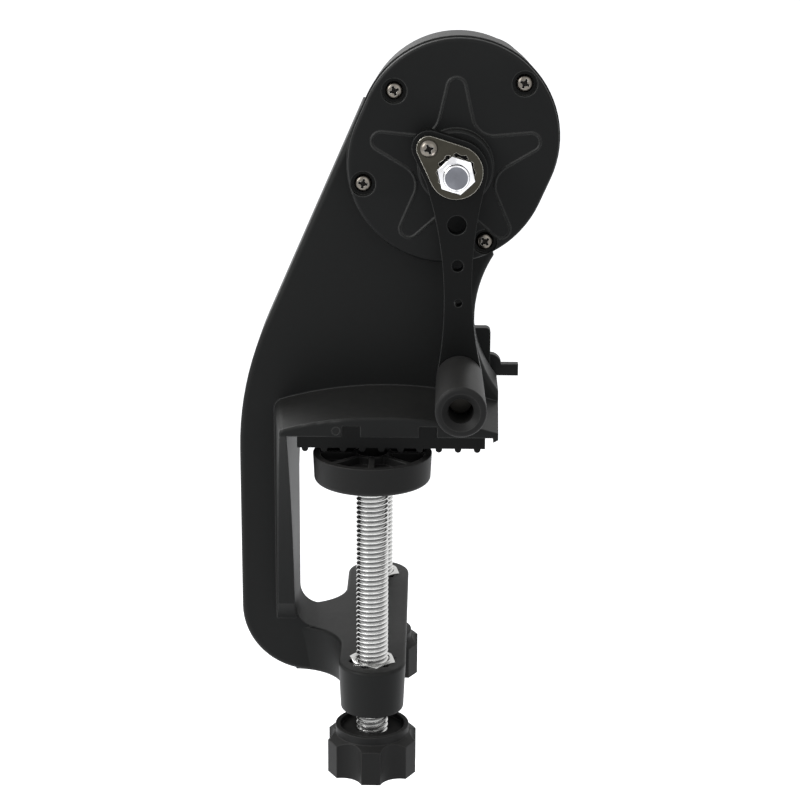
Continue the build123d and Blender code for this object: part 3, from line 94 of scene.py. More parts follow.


# The edge colours below are painted highlights along rounded edges. The bright rims of screw_steel and
# dark_steel are painted highlights too.
PLATE = Finish("frame_black", (0.0090, 0.0094, 0.0092), 0.46, specular=0.13, grain=0.30, depth=0.16,
               variation=0.25, edge_radius=0.7, edge_highlight_colour=(0.085, 0.086, 0.083), edge_highlight_strength=0.75,
               dust=0.09)
COVER = Finish("cover_black", (0.0076, 0.0080, 0.0079), 0.42, specular=0.12, grain=0.28, depth=0.12,
               variation=0.32, edge_radius=0.6, edge_highlight_colour=(0.095, 0.096, 0.092), edge_highlight_strength=0.85,
               dust=0.07)
ARM = Finish("arm_black", (0.0042, 0.0044, 0.0043), 0.38, specular=0.10, grain=0.22, depth=0.10,
             variation=0.22, edge_radius=0.5, edge_highlight_colour=(0.085, 0.086, 0.084), edge_highlight_strength=0.80)
GRIP = Finish("grip_black", (0.0112, 0.0112, 0.0110), 0.50, specular=0.14, grain=0.25, depth=0.14,
              variation=0.25, edge_radius=0.6, edge_highlight_colour=(0.080, 0.080, 0.077), edge_highlight_strength=0.70,
              dust=0.08)
PAD = Finish("pad_black", (0.0112, 0.0112, 0.0110), 0.52, specular=0.14, grain=0.32, depth=0.20,
             variation=0.25, edge_radius=0.5, edge_highlight_colour=(0.075, 0.075, 0.072), edge_highlight_strength=0.65,
             dust=0.09)
RUBBER = Finish("insert_rubber", (0.0060, 0.0062, 0.0061), 0.62, specular=0.10, grain=0.45, depth=0.30,
                variation=0.30, edge_radius=0.3, edge_highlight_colour=(0.035, 0.035, 0.034), edge_highlight_strength=0.45,
                dust=0.08)
ZINC = Finish("zinc", (0.60, 0.60, 0.59), 0.20, metallic=1.0, relief=Relief.BRUSHED, grain=0.6,
              depth=0.05, variation=0.12, edge_radius=0.12)
CHROME = Finish("bright_steel", (0.62, 0.62, 0.64), 0.14, metallic=1.0, relief=Relief.BRUSHED,
                grain=0.5, depth=0.03, variation=0.10, edge_radius=0.15)
SCREW_STEEL = Finish("screw_steel", (0.17, 0.155, 0.135), 0.30, metallic=1.0, relief=Relief.BRUSHED,
                     grain=0.5, depth=0.05, variation=0.25, edge_radius=0.14,
                     edge_highlight_colour=(0.80, 0.80, 0.78), edge_highlight_strength=0.9)
# Near-black colour painted into the screws' cross recesses as shade
PAINTED_RECESS_SHADE = Finish("recess_painted_shade", (0.018, 0.017, 0.016), 0.50, metallic=1.0, relief=Relief.BRUSHED,
                      grain=0.4, depth=0.05, variation=0.25, edge_radius=0.10)
DARK_STEEL = Finish("dark_steel", (0.046, 0.043, 0.034), 0.34, metallic=1.0, relief=Relief.BRUSHED,
                    grain=0.8, depth=0.08, variation=0.30, edge_radius=0.32,
                    edge_highlight_colour=(0.80, 0.78, 0.70), edge_highlight_strength=1.0)
PIN_STEEL = replace(DARK_STEEL, name="pin_steel", colour=(0.020, 0.019, 0.017), edge_highlight_strength=0.15)
GEAR_STEEL = Finish("gear_steel", (0.40, 0.40, 0.39), 0.32, metallic=1.0, relief=Relief.BRUSHED,
                    grain=0.7, depth=0.10, variation=0.25, edge_radius=0.15)
BRASS = Finish("bushing", (0.50, 0.39, 0.20), 0.34, metallic=1.0, relief=Relief.BRUSHED, grain=0.6,
               depth=0.08, variation=0.25, edge_radius=0.15)

FINISH_OF_SLOT: dict[str, Finish] = {
    finish.name: finish
    for finish in (PLATE, COVER, ARM, GRIP, PAD, RUBBER, ZINC, CHROME, DARK_STEEL, GEAR_STEEL, BRASS)
}


# ---------------------------------------------------------------- materials
class NodeGroup:
    """A shader node group under construction, with its own sockets."""

    def __init__(self, name: str) -> None:
        """Start an empty group with an input and an output node."""
        self.tree = bpy.data.node_groups.new(name, "ShaderNodeTree")
        self.entry = self.tree.nodes.new("NodeGroupInput")
        self.exit = self.tree.nodes.new("NodeGroupOutput")

    def socket_in(self, name: str, kind: str, default: float | Sequence[float] | None = None) -> None:
        """Add an input socket.

        Args:
            name: Socket name.
            kind: Socket type, such as NodeSocketFloat.
            default: Value when nothing is linked.
        """
        item = self.tree.interface.new_socket(name, in_out="INPUT", socket_type=kind)
        if default is not None:
            item.default_value = default

    def socket_out(self, name: str, kind: str) -> None:
        """Add an output socket of the given type."""
        self.tree.interface.new_socket(name, in_out="OUTPUT", socket_type=kind)

    def add(self, kind: str, **settings: object) -> bpy.types.Node:
        """Add a node and set its properties.

        Args:
            kind: Node type name.
            settings: Property values by name.

        Returns:
            The new node.
        """
        node = self.tree.nodes.new(kind)
        for key, value in settings.items():
            setattr(node, key, value)
        return node

    def join(self, source: bpy.types.NodeSocket, target: bpy.types.NodeSocket) -> None:
        """Link two sockets."""
        self.tree.links.new(source, target)

    def maths(self, operation: str, first: object, second: object = None, clamp: bool = False) -> object:
        """Add a Math node.

        Args:
            operation: The node's operation.
            first: Socket or number for the first input.
            second: Socket or number for the second input, if any.
            clamp: Whether the result is held between 0 and 1.

        Returns:
            The node's output socket.
        """
        node = self.add("ShaderNodeMath", operation=operation, use_clamp=clamp)
        for index, value in enumerate((first, second)):
            if value is None:
                continue
            if isinstance(value, (int, float)):
                node.inputs[index].default_value = value
            else:
                self.join(value, node.inputs[index])
        return node.outputs[0]


class SharedEffects:
    """Node groups that all finishes use. Bump reaches are in metres, cloud scales per metre."""

    # Gain and noisy break-up of the mask for the painted edge highlight
    EDGE_GAIN = 5.0
    EDGE_BREAK_RANGE = 0.7
    EDGE_BREAK_FLOOR = 0.45
    GRAIN_REACH = 0.00006
    SCRATCH_REACH = 0.00003
    RING_REACH = 0.00002
    MOULDED_CLOUDS = 26.0
    PLATING_CLOUDS = 160.0
    TURNED_CLOUDS = 220.0
    DUST_CLOUDS = 420.0

    def __init__(self) -> None:
        """Build each group once."""
        self.soft_edges_and_highlight = self._soft_edges_and_highlight()
        self.grain = self._grain()
        self.brushed = self._brushed()
        self.turned = self._turned()
        self.dust = self._dust()
        self.root_shade = self._root_shade()

    @staticmethod
    def _soft_edges_and_highlight() -> bpy.types.NodeTree:
        """Rounded edge normals, and a mask of where the edges are, which paints a highlight along them."""
        group = NodeGroup("soft_edges_and_highlight")
        group.socket_in("Radius", "NodeSocketFloat", 0.0004)
        group.socket_in("Break Up", "NodeSocketFloat", 900.0)
        group.socket_out("Normal", "NodeSocketVector")
        # Mask where a painted highlight goes along the edges
        group.socket_out("Mask", "NodeSocketFloat")
        bevel = group.add("ShaderNodeBevel", samples=6)
        group.join(group.entry.outputs["Radius"], bevel.inputs["Radius"])
        surface = group.add("ShaderNodeNewGeometry")
        dot = group.add("ShaderNodeVectorMath", operation="DOT_PRODUCT")
        group.join(bevel.outputs["Normal"], dot.inputs[0])
        group.join(surface.outputs["Normal"], dot.inputs[1])
        bend = group.maths("SUBTRACT", 1.0, dot.outputs["Value"], clamp=True)
        amount = group.maths("MULTIPLY", bend, SharedEffects.EDGE_GAIN, clamp=True)
        place = group.add("ShaderNodeTexCoord")
        noise = group.add("ShaderNodeTexNoise")
        noise.inputs["Detail"].default_value = 3.0
        group.join(place.outputs["Object"], noise.inputs["Vector"])
        group.join(group.entry.outputs["Break Up"], noise.inputs["Scale"])
        broken = group.maths("MULTIPLY_ADD", noise.outputs["Fac"], SharedEffects.EDGE_BREAK_RANGE)
        broken.node.inputs[2].default_value = SharedEffects.EDGE_BREAK_FLOOR
        mask = group.maths("MULTIPLY", amount, broken, clamp=True)
        group.join(bevel.outputs["Normal"], group.exit.inputs["Normal"])
        group.join(mask, group.exit.inputs["Mask"])
        return group.tree

    @staticmethod
    def _relief_group(name: str) -> NodeGroup:
        """A group with the sockets that every relief has."""
        group = NodeGroup(name)
        group.socket_in("Scale", "NodeSocketFloat", 3000.0)
        group.socket_in("Depth", "NodeSocketFloat", 0.2)
        group.socket_in("Normal", "NodeSocketVector")
        group.socket_out("Normal", "NodeSocketVector")
        group.socket_out("Tone", "NodeSocketFloat")
        return group

    @staticmethod
    def _bump(group: NodeGroup, height: object, reach: float) -> None:
        """Join a height to the group's normal through a Bump node."""
        bump = group.add("ShaderNodeBump")
        bump.inputs["Distance"].default_value = reach
        group.join(group.entry.outputs["Depth"], bump.inputs["Strength"])
        group.join(height, bump.inputs["Height"])
        group.join(group.entry.outputs["Normal"], bump.inputs["Normal"])
        group.join(bump.outputs["Normal"], group.exit.inputs["Normal"])

    def _grain(self) -> bpy.types.NodeTree:
        """Fine spark-eroded texture of moulded plastic, with slow tone changes."""
        group = self._relief_group("moulded_grain")
        place = group.add("ShaderNodeTexCoord")
        fine = group.add("ShaderNodeTexNoise")
        fine.inputs["Detail"].default_value = 2.0
        group.join(place.outputs["Object"], fine.inputs["Vector"])
        group.join(group.entry.outputs["Scale"], fine.inputs["Scale"])
        cells = group.add("ShaderNodeTexVoronoi")
        group.join(place.outputs["Object"], cells.inputs["Vector"])
        group.join(group.entry.outputs["Scale"], cells.inputs["Scale"])
        height = group.maths("ADD", fine.outputs["Fac"], cells.outputs["Distance"])
        self._bump(group, height, self.GRAIN_REACH)
        slow = group.add("ShaderNodeTexNoise")
        slow.inputs["Scale"].default_value = self.MOULDED_CLOUDS
        slow.inputs["Detail"].default_value = 4.0
        group.join(place.outputs["Object"], slow.inputs["Vector"])
        group.join(slow.outputs["Fac"], group.exit.inputs["Tone"])
        return group.tree

    def _brushed(self) -> bpy.types.NodeTree:
        """Short scratches and plating cloudiness of metal."""
        group = self._relief_group("plated_metal")
        place = group.add("ShaderNodeTexCoord")
        stretch = group.add("ShaderNodeMapping")
        stretch.inputs["Scale"].default_value = (1.0, 0.25, 1.0)
        group.join(place.outputs["Object"], stretch.inputs["Vector"])
        fine = group.add("ShaderNodeTexNoise")
        fine.inputs["Detail"].default_value = 3.0
        group.join(stretch.outputs["Vector"], fine.inputs["Vector"])
        group.join(group.entry.outputs["Scale"], fine.inputs["Scale"])
        self._bump(group, fine.outputs["Fac"], self.SCRATCH_REACH)
        slow = group.add("ShaderNodeTexNoise")
        slow.inputs["Scale"].default_value = self.PLATING_CLOUDS
        slow.inputs["Detail"].default_value = 3.0
        group.join(place.outputs["Object"], slow.inputs["Vector"])
        group.join(slow.outputs["Fac"], group.exit.inputs["Tone"])
        return group.tree

    def _turned(self) -> bpy.types.NodeTree:
        """Fine rings left by a lathe round an axis along Y."""
        group = self._relief_group("turned_metal")
        group.socket_in("Centre", "NodeSocketVector", (0.0, 0.0, 0.0))
        place = group.add("ShaderNodeTexCoord")
        offset = group.add("ShaderNodeVectorMath", operation="SUBTRACT")
        group.join(place.outputs["Object"], offset.inputs[0])
        group.join(group.entry.outputs["Centre"], offset.inputs[1])
        flat = group.add("ShaderNodeVectorMath", operation="MULTIPLY")
        flat.inputs[1].default_value = (1.0, 0.0, 1.0)
        group.join(offset.outputs["Vector"], flat.inputs[0])
        radius = group.add("ShaderNodeVectorMath", operation="LENGTH")
        group.join(flat.outputs["Vector"], radius.inputs[0])
        scaled = group.maths("MULTIPLY", radius.outputs["Value"], group.entry.outputs["Scale"])
        rings = group.maths("SINE", scaled)
        self._bump(group, rings, self.RING_REACH)
        slow = group.add("ShaderNodeTexNoise")
        slow.inputs["Scale"].default_value = self.TURNED_CLOUDS
        group.join(place.outputs["Object"], slow.inputs["Vector"])
        group.join(slow.outputs["Fac"], group.exit.inputs["Tone"])
        return group.tree

    @staticmethod
    def _dust() -> bpy.types.NodeTree:
        """Mask of faint dust on what faces up."""
        group = NodeGroup("settled_dust")
        group.socket_in("Amount", "NodeSocketFloat", 0.1)
        group.socket_out("Mask", "NodeSocketFloat")
        surface = group.add("ShaderNodeNewGeometry")
        split = group.add("ShaderNodeSeparateXYZ")
        group.join(surface.outputs["Normal"], split.inputs[0])
        up = group.maths("MAXIMUM", split.outputs["Z"], 0.0)
        place = group.add("ShaderNodeTexCoord")
        noise = group.add("ShaderNodeTexNoise")
        noise.inputs["Scale"].default_value = SharedEffects.DUST_CLOUDS
        noise.inputs["Detail"].default_value = 5.0
        group.join(place.outputs["Object"], noise.inputs["Vector"])
        speck = group.maths("MULTIPLY", up, noise.outputs["Fac"])
        mask = group.maths("MULTIPLY", speck, group.entry.outputs["Amount"], clamp=True)
        group.join(mask, group.exit.inputs["Mask"])
        return group.tree


    @staticmethod
    def _root_shade() -> bpy.types.NodeTree:
        """Mask of painted shade in what lies deep towards an upright axis, such as the roots of a thread.
        """
        group = NodeGroup("thread_root_shade")
        group.socket_in("Centre", "NodeSocketVector", (0.0, 0.0, 0.0))
        group.socket_in("Root", "NodeSocketFloat", 0.004)
        group.socket_in("Crest", "NodeSocketFloat", 0.005)
        group.socket_out("Mask", "NodeSocketFloat")
        place = group.add("ShaderNodeTexCoord")
        offset = group.add("ShaderNodeVectorMath", operation="SUBTRACT")
        group.join(place.outputs["Object"], offset.inputs[0])
        group.join(group.entry.outputs["Centre"], offset.inputs[1])
        flat = group.add("ShaderNodeVectorMath", operation="MULTIPLY")
        flat.inputs[1].default_value = (1.0, 1.0, 0.0)
        group.join(offset.outputs["Vector"], flat.inputs[0])
        radius = group.add("ShaderNodeVectorMath", operation="LENGTH")
        group.join(flat.outputs["Vector"], radius.inputs[0])
        level = group.add("ShaderNodeMapRange")
        level.inputs["To Min"].default_value = 1.0
        level.inputs["To Max"].default_value = 0.0
        group.join(radius.outputs["Value"], level.inputs["Value"])
        group.join(group.entry.outputs["Root"], level.inputs["From Min"])
        group.join(group.entry.outputs["Crest"], level.inputs["From Max"])
        group.join(level.outputs["Result"], group.exit.inputs["Mask"])
        return group.tree


class MaterialBook:
    """Makes each finish's material once and hands it out."""

    DUST_COLOUR: Colour = (0.16, 0.155, 0.145)
    ROUGHNESS_LOW = 0.88
    ROUGHNESS_HIGH = 1.12

    def __init__(self) -> None:
        """Start with the shared effects and no materials."""
        self.effects = SharedEffects()
        self.made: dict[str, bpy.types.Material] = {}

    def get(self, finish: Finish) -> bpy.types.Material:
        """The material of a finish, made on first use."""
        if finish.name not in self.made:
            self.made[finish.name] = self._make(finish)
        return self.made[finish.name]

    def _relief_tree(self, relief: Relief) -> bpy.types.NodeTree:
        """The node group of a relief."""
        return {Relief.MOULDED: self.effects.grain, Relief.BRUSHED: self.effects.brushed,
                Relief.TURNED: self.effects.turned}[relief]

    def _make(self, finish: Finish) -> bpy.types.Material:
        """Build one material.

        Args:
            finish: What it looks like.

        Returns:
            The new material.
        """
        material = bpy.data.materials.new(finish.name)
        material.use_nodes = True
        tree = material.node_tree
        shader = tree.nodes["Principled BSDF"]
        shader.inputs["Metallic"].default_value = finish.metallic
        shader.inputs["Specular IOR Level"].default_value = finish.specular

        edges = self._group(tree, self.effects.soft_edges_and_highlight)
        edges.inputs["Radius"].default_value = finish.edge_radius * MM
        relief = self._group(tree, self._relief_tree(finish.relief))
        relief.inputs["Scale"].default_value = 1.0 / (finish.grain * MM)
        relief.inputs["Depth"].default_value = finish.depth
        if finish.relief is Relief.TURNED:
            relief.inputs["Centre"].default_value = finish.centre
        tree.links.new(edges.outputs["Normal"], relief.inputs["Normal"])
        tree.links.new(relief.outputs["Normal"], shader.inputs["Normal"])

        dark = tuple(c * (1.0 - finish.variation) for c in finish.colour)
        light = tuple(min(1.0, c * (1.0 + finish.variation)) for c in finish.colour)
        colour = self._mix(tree, relief.outputs["Tone"], dark, light)
        # Painted highlight: the edge colour is mixed in along rounded edges
        if finish.edge_highlight_colour:
            amount = self._scaled(tree, edges.outputs["Mask"], finish.edge_highlight_strength)
            colour = self._mix(tree, amount, colour, finish.edge_highlight_colour)
        # Painted shade: the thread is darkened from its crest towards its root radius
        if finish.root_shade:
            roots = self._group(tree, self.effects.root_shade)
            roots.inputs["Centre"].default_value = finish.centre
            roots.inputs["Root"].default_value = finish.root_shade[0] * MM
            roots.inputs["Crest"].default_value = finish.root_shade[1] * MM
            colour = self._mix(tree, roots.outputs["Mask"], colour, finish.root_shade_colour)
        if finish.dust > 0:
            dust = self._group(tree, self.effects.dust)
            dust.inputs["Amount"].default_value = finish.dust
            colour = self._mix(tree, dust.outputs["Mask"], colour, self.DUST_COLOUR)
        tree.links.new(colour, shader.inputs["Base Color"])
        self._roughness(tree, shader, relief, finish)
        return material

    @staticmethod
    def _group(tree: bpy.types.NodeTree, shared: bpy.types.NodeTree) -> bpy.types.Node:
        """Put a shared group into a material."""
        node = tree.nodes.new("ShaderNodeGroup")
        node.node_tree = shared
        return node

    @staticmethod
    def _scaled(tree: bpy.types.NodeTree, value: object, by: float) -> object:
        """Multiply a value by a number."""
        node = tree.nodes.new("ShaderNodeMath")
        node.operation = "MULTIPLY"
        node.use_clamp = True
        node.inputs[1].default_value = by
        tree.links.new(value, node.inputs[0])
        return node.outputs[0]

    @staticmethod
    def _mix(tree: bpy.types.NodeTree, factor: object, low: object, high: object) -> object:
        """Mix two colours, each a socket or a plain colour."""
        node = tree.nodes.new("ShaderNodeMix")
        node.data_type = "RGBA"
        tree.links.new(factor, node.inputs["Factor"])
        for socket, value in ((node.inputs[6], low), (node.inputs[7], high)):
            if isinstance(value, tuple):
                socket.default_value = (*value, 1.0)
            else:
                tree.links.new(value, socket)
        return node.outputs[2]

    @staticmethod
    def _roughness(tree: bpy.types.NodeTree, shader: bpy.types.Node, relief: bpy.types.Node,
                   finish: Finish) -> None:
        """Let the roughness wander a little round the finish's value."""
        node = tree.nodes.new("ShaderNodeMapRange")
        node.inputs["To Min"].default_value = finish.roughness * MaterialBook.ROUGHNESS_LOW
        node.inputs["To Max"].default_value = finish.roughness * MaterialBook.ROUGHNESS_HIGH
        tree.links.new(relief.outputs["Tone"], node.inputs["Value"])
        tree.links.new(node.outputs["Result"], shader.inputs["Roughness"])


# ---------------------------------------------------------------- mesh building
def mark_smooth(bm: bmesh.types.BMesh, angle: float) -> None:
    """Smooth all faces and keep the edges that turn by the angle or more sharp."""
    for face in bm.faces:
        face.smooth = True
    for edge in bm.edges:
        edge.smooth = not edge.is_manifold or edge.calc_face_angle(0.0) < math.radians(angle)


class Mesher:
    """Builds a mesh with bmesh operators. Sizes are in millimetres until it is finished."""

    def __init__(self) -> None:
        """Start with an empty mesh."""
        self.bm = bmesh.new()

    def revolve(self, profile: Sequence[tuple[float, float]], steps: int = 48) -> "Mesher":
        """Turn a profile round the Z axis.

        Args:
            profile: Points as (radius, height).
            steps: How many flats go round.

        Returns:
            The mesher itself.
        """
        verts = [self.bm.verts.new((radius, 0.0, height)) for radius, height in profile]
        edges = [self.bm.edges.new(pair) for pair in zip(verts, verts[1:])]
        bmesh.ops.spin(self.bm, geom=verts + edges, cent=(0, 0, 0), axis=(0, 0, 1),
                       angle=math.tau, steps=steps, use_merge=True)
        bmesh.ops.remove_doubles(self.bm, verts=self.bm.verts[:], dist=0.001)
        bmesh.ops.recalc_face_normals(self.bm, faces=self.bm.faces[:])
        return self

    def thread(self, crest: float, root: float, pitch: float, low: float, high: float,
               steps: int = 40) -> "Mesher":
        """Wind a thread along Z between two heights.

        Args:
            crest: Outer radius.
            root: Radius at the bottom of the groove.
            pitch: Rise for one turn.
            low: Lower end.
            high: Upper end.
            steps: Flats in one turn.

        Returns:
            The mesher itself.
        """
        turns = math.ceil((high - low) / pitch) + 2
        start = low - pitch
        rise = (0.0, 0.40, 0.54, 0.94, 1.0)
        radii = (root, crest, crest, root, root)
        verts = [self.bm.verts.new((r, 0.0, start + z * pitch)) for r, z in zip(radii, rise)]
        edges = [self.bm.edges.new(pair) for pair in zip(verts, verts[1:])]
        bmesh.ops.spin(self.bm, geom=verts + edges, cent=(0, 0, 0), axis=(0, 0, 1),
                       dvec=(0, 0, pitch / steps), angle=math.tau * turns, steps=steps * turns)
        bmesh.ops.remove_doubles(self.bm, verts=self.bm.verts[:], dist=0.002)
        self.slice((0, 0, low), (0, 0, -1)).slice((0, 0, high), (0, 0, 1))
        bmesh.ops.recalc_face_normals(self.bm, faces=self.bm.faces[:])
        return self

    def slice(self, place: Point, outwards: Point) -> "Mesher":
        """Cut away what lies beyond a plane and close the cut."""
        geom = self.bm.verts[:] + self.bm.edges[:] + self.bm.faces[:]
        cut = bmesh.ops.bisect_plane(self.bm, geom=geom, plane_co=place, plane_no=outwards,
                                     clear_outer=True)
        rim = [item for item in cut["geom_cut"] if isinstance(item, bmesh.types.BMEdge)]
        bmesh.ops.holes_fill(self.bm, edges=rim, sides=0)
        return self

    def prism(self, sides: int, across_flats: float, low: float, high: float,
              turn: float = 0.0) -> "Mesher":
        """A regular prism along Z, with a flat's corner at the turn angle in degrees."""
        radius = across_flats / 2 / math.cos(math.pi / sides)
        place = Matrix.Translation((0, 0, (low + high) / 2)) @ Matrix.Rotation(math.radians(turn), 4, "Z")
        bmesh.ops.create_cone(self.bm, cap_ends=True, segments=sides, radius1=radius, radius2=radius,
                              depth=high - low, matrix=place)
        return self

    def box(self, size: Point, centre: Point, turn: float = 0.0) -> "Mesher":
        """A box, turned about Z by degrees."""
        place = Matrix.Translation(centre) @ Matrix.Rotation(math.radians(turn), 4, "Z")
        place = place @ Matrix.Diagonal((*size, 1.0))
        bmesh.ops.create_cube(self.bm, size=1.0, matrix=place)
        return self

    def oval(self, radius: float, spread: float, heading: float, low: float, high: float) -> "Mesher":
        """An upright prism on a circle that is pulled apart.

        Args:
            radius: Radius of its round ends.
            spread: How far each end moves from the middle.
            heading: Direction of the pull in degrees.
            low: Lower end.
            high: Upper end.

        Returns:
            The mesher itself.
        """
        ring = bmesh.ops.create_circle(self.bm, cap_ends=True, segments=128, radius=radius,
                                       matrix=Matrix.Translation((0, 0, low)))
        pull = Vector((math.cos(math.radians(heading)), math.sin(math.radians(heading)), 0.0))
        for vert in ring["verts"]:
            vert.co += math.copysign(spread, vert.co.dot(pull)) * pull
        faces = list({face for vert in ring["verts"] for face in vert.link_faces})
        grown = bmesh.ops.extrude_face_region(self.bm, geom=faces)["geom"]
        top = [item for item in grown if isinstance(item, bmesh.types.BMVert)]
        bmesh.ops.translate(self.bm, verts=top, vec=(0, 0, high - low))
        bmesh.ops.recalc_face_normals(self.bm, faces=self.bm.faces[:])
        return self

    def ridge(self, outlines: Sequence[Sequence[tuple[float, float]]],
              heights: Sequence[float]) -> "Mesher":
        """A closed raised line through parallel outlines.

        Args:
            outlines: Closed outlines whose points answer to each other.
            heights: Height of each outline.

        Returns:
            The mesher itself.
        """
        rings = [[(x, y, height) for x, y in outline] for outline, height in zip(outlines, heights)]
        verts = [self.bm.verts.new(point) for point in rings[0]]
        edges = [self.bm.edges.new(pair) for pair in zip(verts, verts[1:] + verts[:1])]
        for ring in rings[1:] + rings[:1]:
            grown = bmesh.ops.extrude_edge_only(self.bm, edges=edges)["geom"]
            order = {tuple(vert.co): index for index, vert in enumerate(verts)}
            fresh = [item for item in grown if isinstance(item, bmesh.types.BMVert)]
            edges = [item for item in grown
                     if isinstance(item, bmesh.types.BMEdge) and all(v in fresh for v in item.verts)]
            verts = sorted(fresh, key=lambda vert: order[tuple(vert.co)])
            for vert, point in zip(verts, ring):
                vert.co = point
        bmesh.ops.remove_doubles(self.bm, verts=self.bm.verts[:], dist=0.0001)
        bmesh.ops.recalc_face_normals(self.bm, faces=self.bm.faces[:])
        return self

    def move(self, matrix: Matrix) -> "Mesher":
        """Carry the whole mesh by a matrix in millimetres."""
        bmesh.ops.transform(self.bm, matrix=matrix, verts=self.bm.verts[:])
        return self

    def make(self, name: str, smooth: float = 35.0) -> bpy.types.Object:
        """Turn the mesh into an object in metres.

        Args:
            name: Object name.
            smooth: Edges that turn by less than this many degrees are smooth.

        Returns:
            The new object, linked to the scene.
        """
        bmesh.ops.transform(self.bm, matrix=Matrix.Scale(MM, 4), verts=self.bm.verts[:])
        mark_smooth(self.bm, smooth)
        mesh = bpy.data.meshes.new(name)
        self.bm.to_mesh(mesh)
        self.bm.free()
        thing = bpy.data.objects.new(name, mesh)
        bpy.context.scene.collection.objects.link(thing)
        return thing


def carved(base: bpy.types.Object, tool: bpy.types.Object, operation: str) -> bpy.types.Object:
    """Apply a boolean to a piece and drop the tool.

    Args:
        base: The piece.
        tool: The other shape.
        operation: DIFFERENCE, UNION or INTERSECT.

    Returns:
        The piece with its new mesh.
    """
    modifier = base.modifiers.new("carve", "BOOLEAN")
    modifier.operation = operation
    modifier.solver = "EXACT"
    modifier.object = tool
    graph = bpy.context.evaluated_depsgraph_get()
    mesh = bpy.data.meshes.new_from_object(base.evaluated_get(graph))
    base.modifiers.clear()
    old = base.data
    base.data = mesh
    bpy.data.meshes.remove(old)
    bpy.data.objects.remove(tool)
    return base


def sharpen(thing: bpy.types.Object, angle: float = 35.0) -> bpy.types.Object:
    """Mark a finished piece's faces smooth and its corners sharp."""
    bm = bmesh.new()
    bm.from_mesh(thing.data)
    bmesh.ops.remove_doubles(bm, verts=bm.verts[:], dist=0.000001)
    bmesh.ops.recalc_face_normals(bm, faces=bm.faces[:])
    mark_smooth(bm, angle)
    bm.to_mesh(thing.data)
    bm.free()
    return thing


def along(axis: Point) -> Matrix:
    """Rotation that carries +Z to an axis."""
    return Vector((0, 0, 1)).rotation_difference(Vector(axis)).to_matrix().to_4x4()


@dataclass
class Workshop:
    """What every sub-assembly needs: the materials, and a way to dress and place pieces."""

    book: MaterialBook = field(default_factory=MaterialBook)

    def dress(self, thing: bpy.types.Object, *finishes: Finish) -> bpy.types.Object:
        """Give a piece its materials, in the order of its faces' material indices."""
        kept = [face.material_index for face in thing.data.polygons] if len(finishes) > 1 else []
        thing.data.materials.clear()
        for finish in finishes:
            thing.data.materials.append(self.book.get(finish))
        if kept:
            thing.data.polygons.foreach_set("material_index", kept)
        return thing

    def place(self, thing: bpy.types.Object, body: str, slot: str, finish: Finish | Sequence[Finish],
              *nodes: str) -> bpy.types.Object:
        """Dress a piece, let it ride on a body and stand for CAD nodes.

        Args:
            thing: The piece.
            body: The CAD body that it rides on.
            slot: The record's material slot; not used.
            finish: Its finish, or one for each material index.
            nodes: CAD nodes that it stands for.

        Returns:
            The piece.
        """
        self.dress(thing, *((finish,) if isinstance(finish, Finish) else finish))
        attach(thing, body)
        if nodes:
            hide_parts(*nodes)
        return thing


# ---------------------------------------------------------------- sub-assemblies
@dataclass
class CadFinishes:
    """Materials for the CAD nodes that keep their own shape."""

    shop: Workshop
    special: dict[str, Finish] = field(default_factory=dict)

    def build(self) -> int:
        """Dress each node by its slot in the record.

        Returns:
            How many nodes were dressed.
        """
        slots = {item["node"]: item["material_slot"] for item in frame["record"]["subparts"]}
        for name, node in frame["nodes"].items():
            finish = self.special.get(name) or FINISH_OF_SLOT[slots[name]]
            self.shop.dress(node, finish)
        return len(slots)


@dataclass
class CrossHeadScrew:
    """A small pan-headed screw with a cross recess. Sizes are in millimetres."""

    name: str
    seat: Point
    axis: Point
    length: float
    head_radius: float = 2.7
    head_height: float = 1.7
    shank_radius: float = 1.5
    slot_width: float = 0.75
    slot_length: float = 2.9
    slot_depth: float = 1.0
    tip_length: float = 0.8
    well_radius: float = 0.95
    turn: float = 20.0

    def build(self) -> bpy.types.Object:
        """Model the screw with its head towards the axis.

        Returns:
            The screw, not dressed yet.
        """
        top = self.head_height
        rim = self.head_radius
        head = [(0, top), (rim * 0.45, top * 0.97), (rim * 0.72, top * 0.84), (rim * 0.9, top * 0.58),
                (rim, top * 0.2), (rim, 0)]
        shank = [(self.shank_radius, 0), (self.shank_radius, -self.length + self.tip_length),
                 (self.shank_radius * 0.4, -self.length), (0, -self.length)]
        profile = head + shank
        screw = Mesher().revolve(profile, 36).make(self.name)
        for angle in (self.turn, self.turn + 90):
            size = (self.slot_length, self.slot_width, 2 * self.slot_depth)
            cutter = Mesher().box(size, (0, 0, top), angle).make("cutter")
            carved(screw, cutter, "DIFFERENCE")
        over = top + 0.1
        well = Mesher().revolve([(0, top - self.slot_depth * 1.3), (self.well_radius, over), (0, over)], 24)
        carved(screw, well.make("cutter"), "DIFFERENCE")
        self._mark_recess(screw)
        place = Matrix.Translation(Vector(self.seat) * MM) @ along(self.axis)
        screw.data.transform(place)
        sharpen(screw)
        return screw

    def _mark_recess(self, screw: bpy.types.Object) -> None:
        """Give the recess's walls and floor the second material index, whose near-black colour is painted
        shade.
        """
        reach = self.slot_length / 2 * 1.05 * MM
        for face in screw.data.polygons:
            centre = face.center
            inside = math.hypot(centre.x, centre.y) < reach and 0 < centre.z < self.head_height * 0.9 * MM
            is_wall = inside and face.normal.z < 0.9
            face.material_index = int(is_wall or self._is_floor(face))

    def _is_floor(self, face: bpy.types.MeshPolygon) -> bool:
        """Whether a face is a slot's floor."""
        floor = (self.head_height - self.slot_depth) * MM
        return face.normal.z > 0.9 and abs(face.center.z - floor) < 0.1 * MM


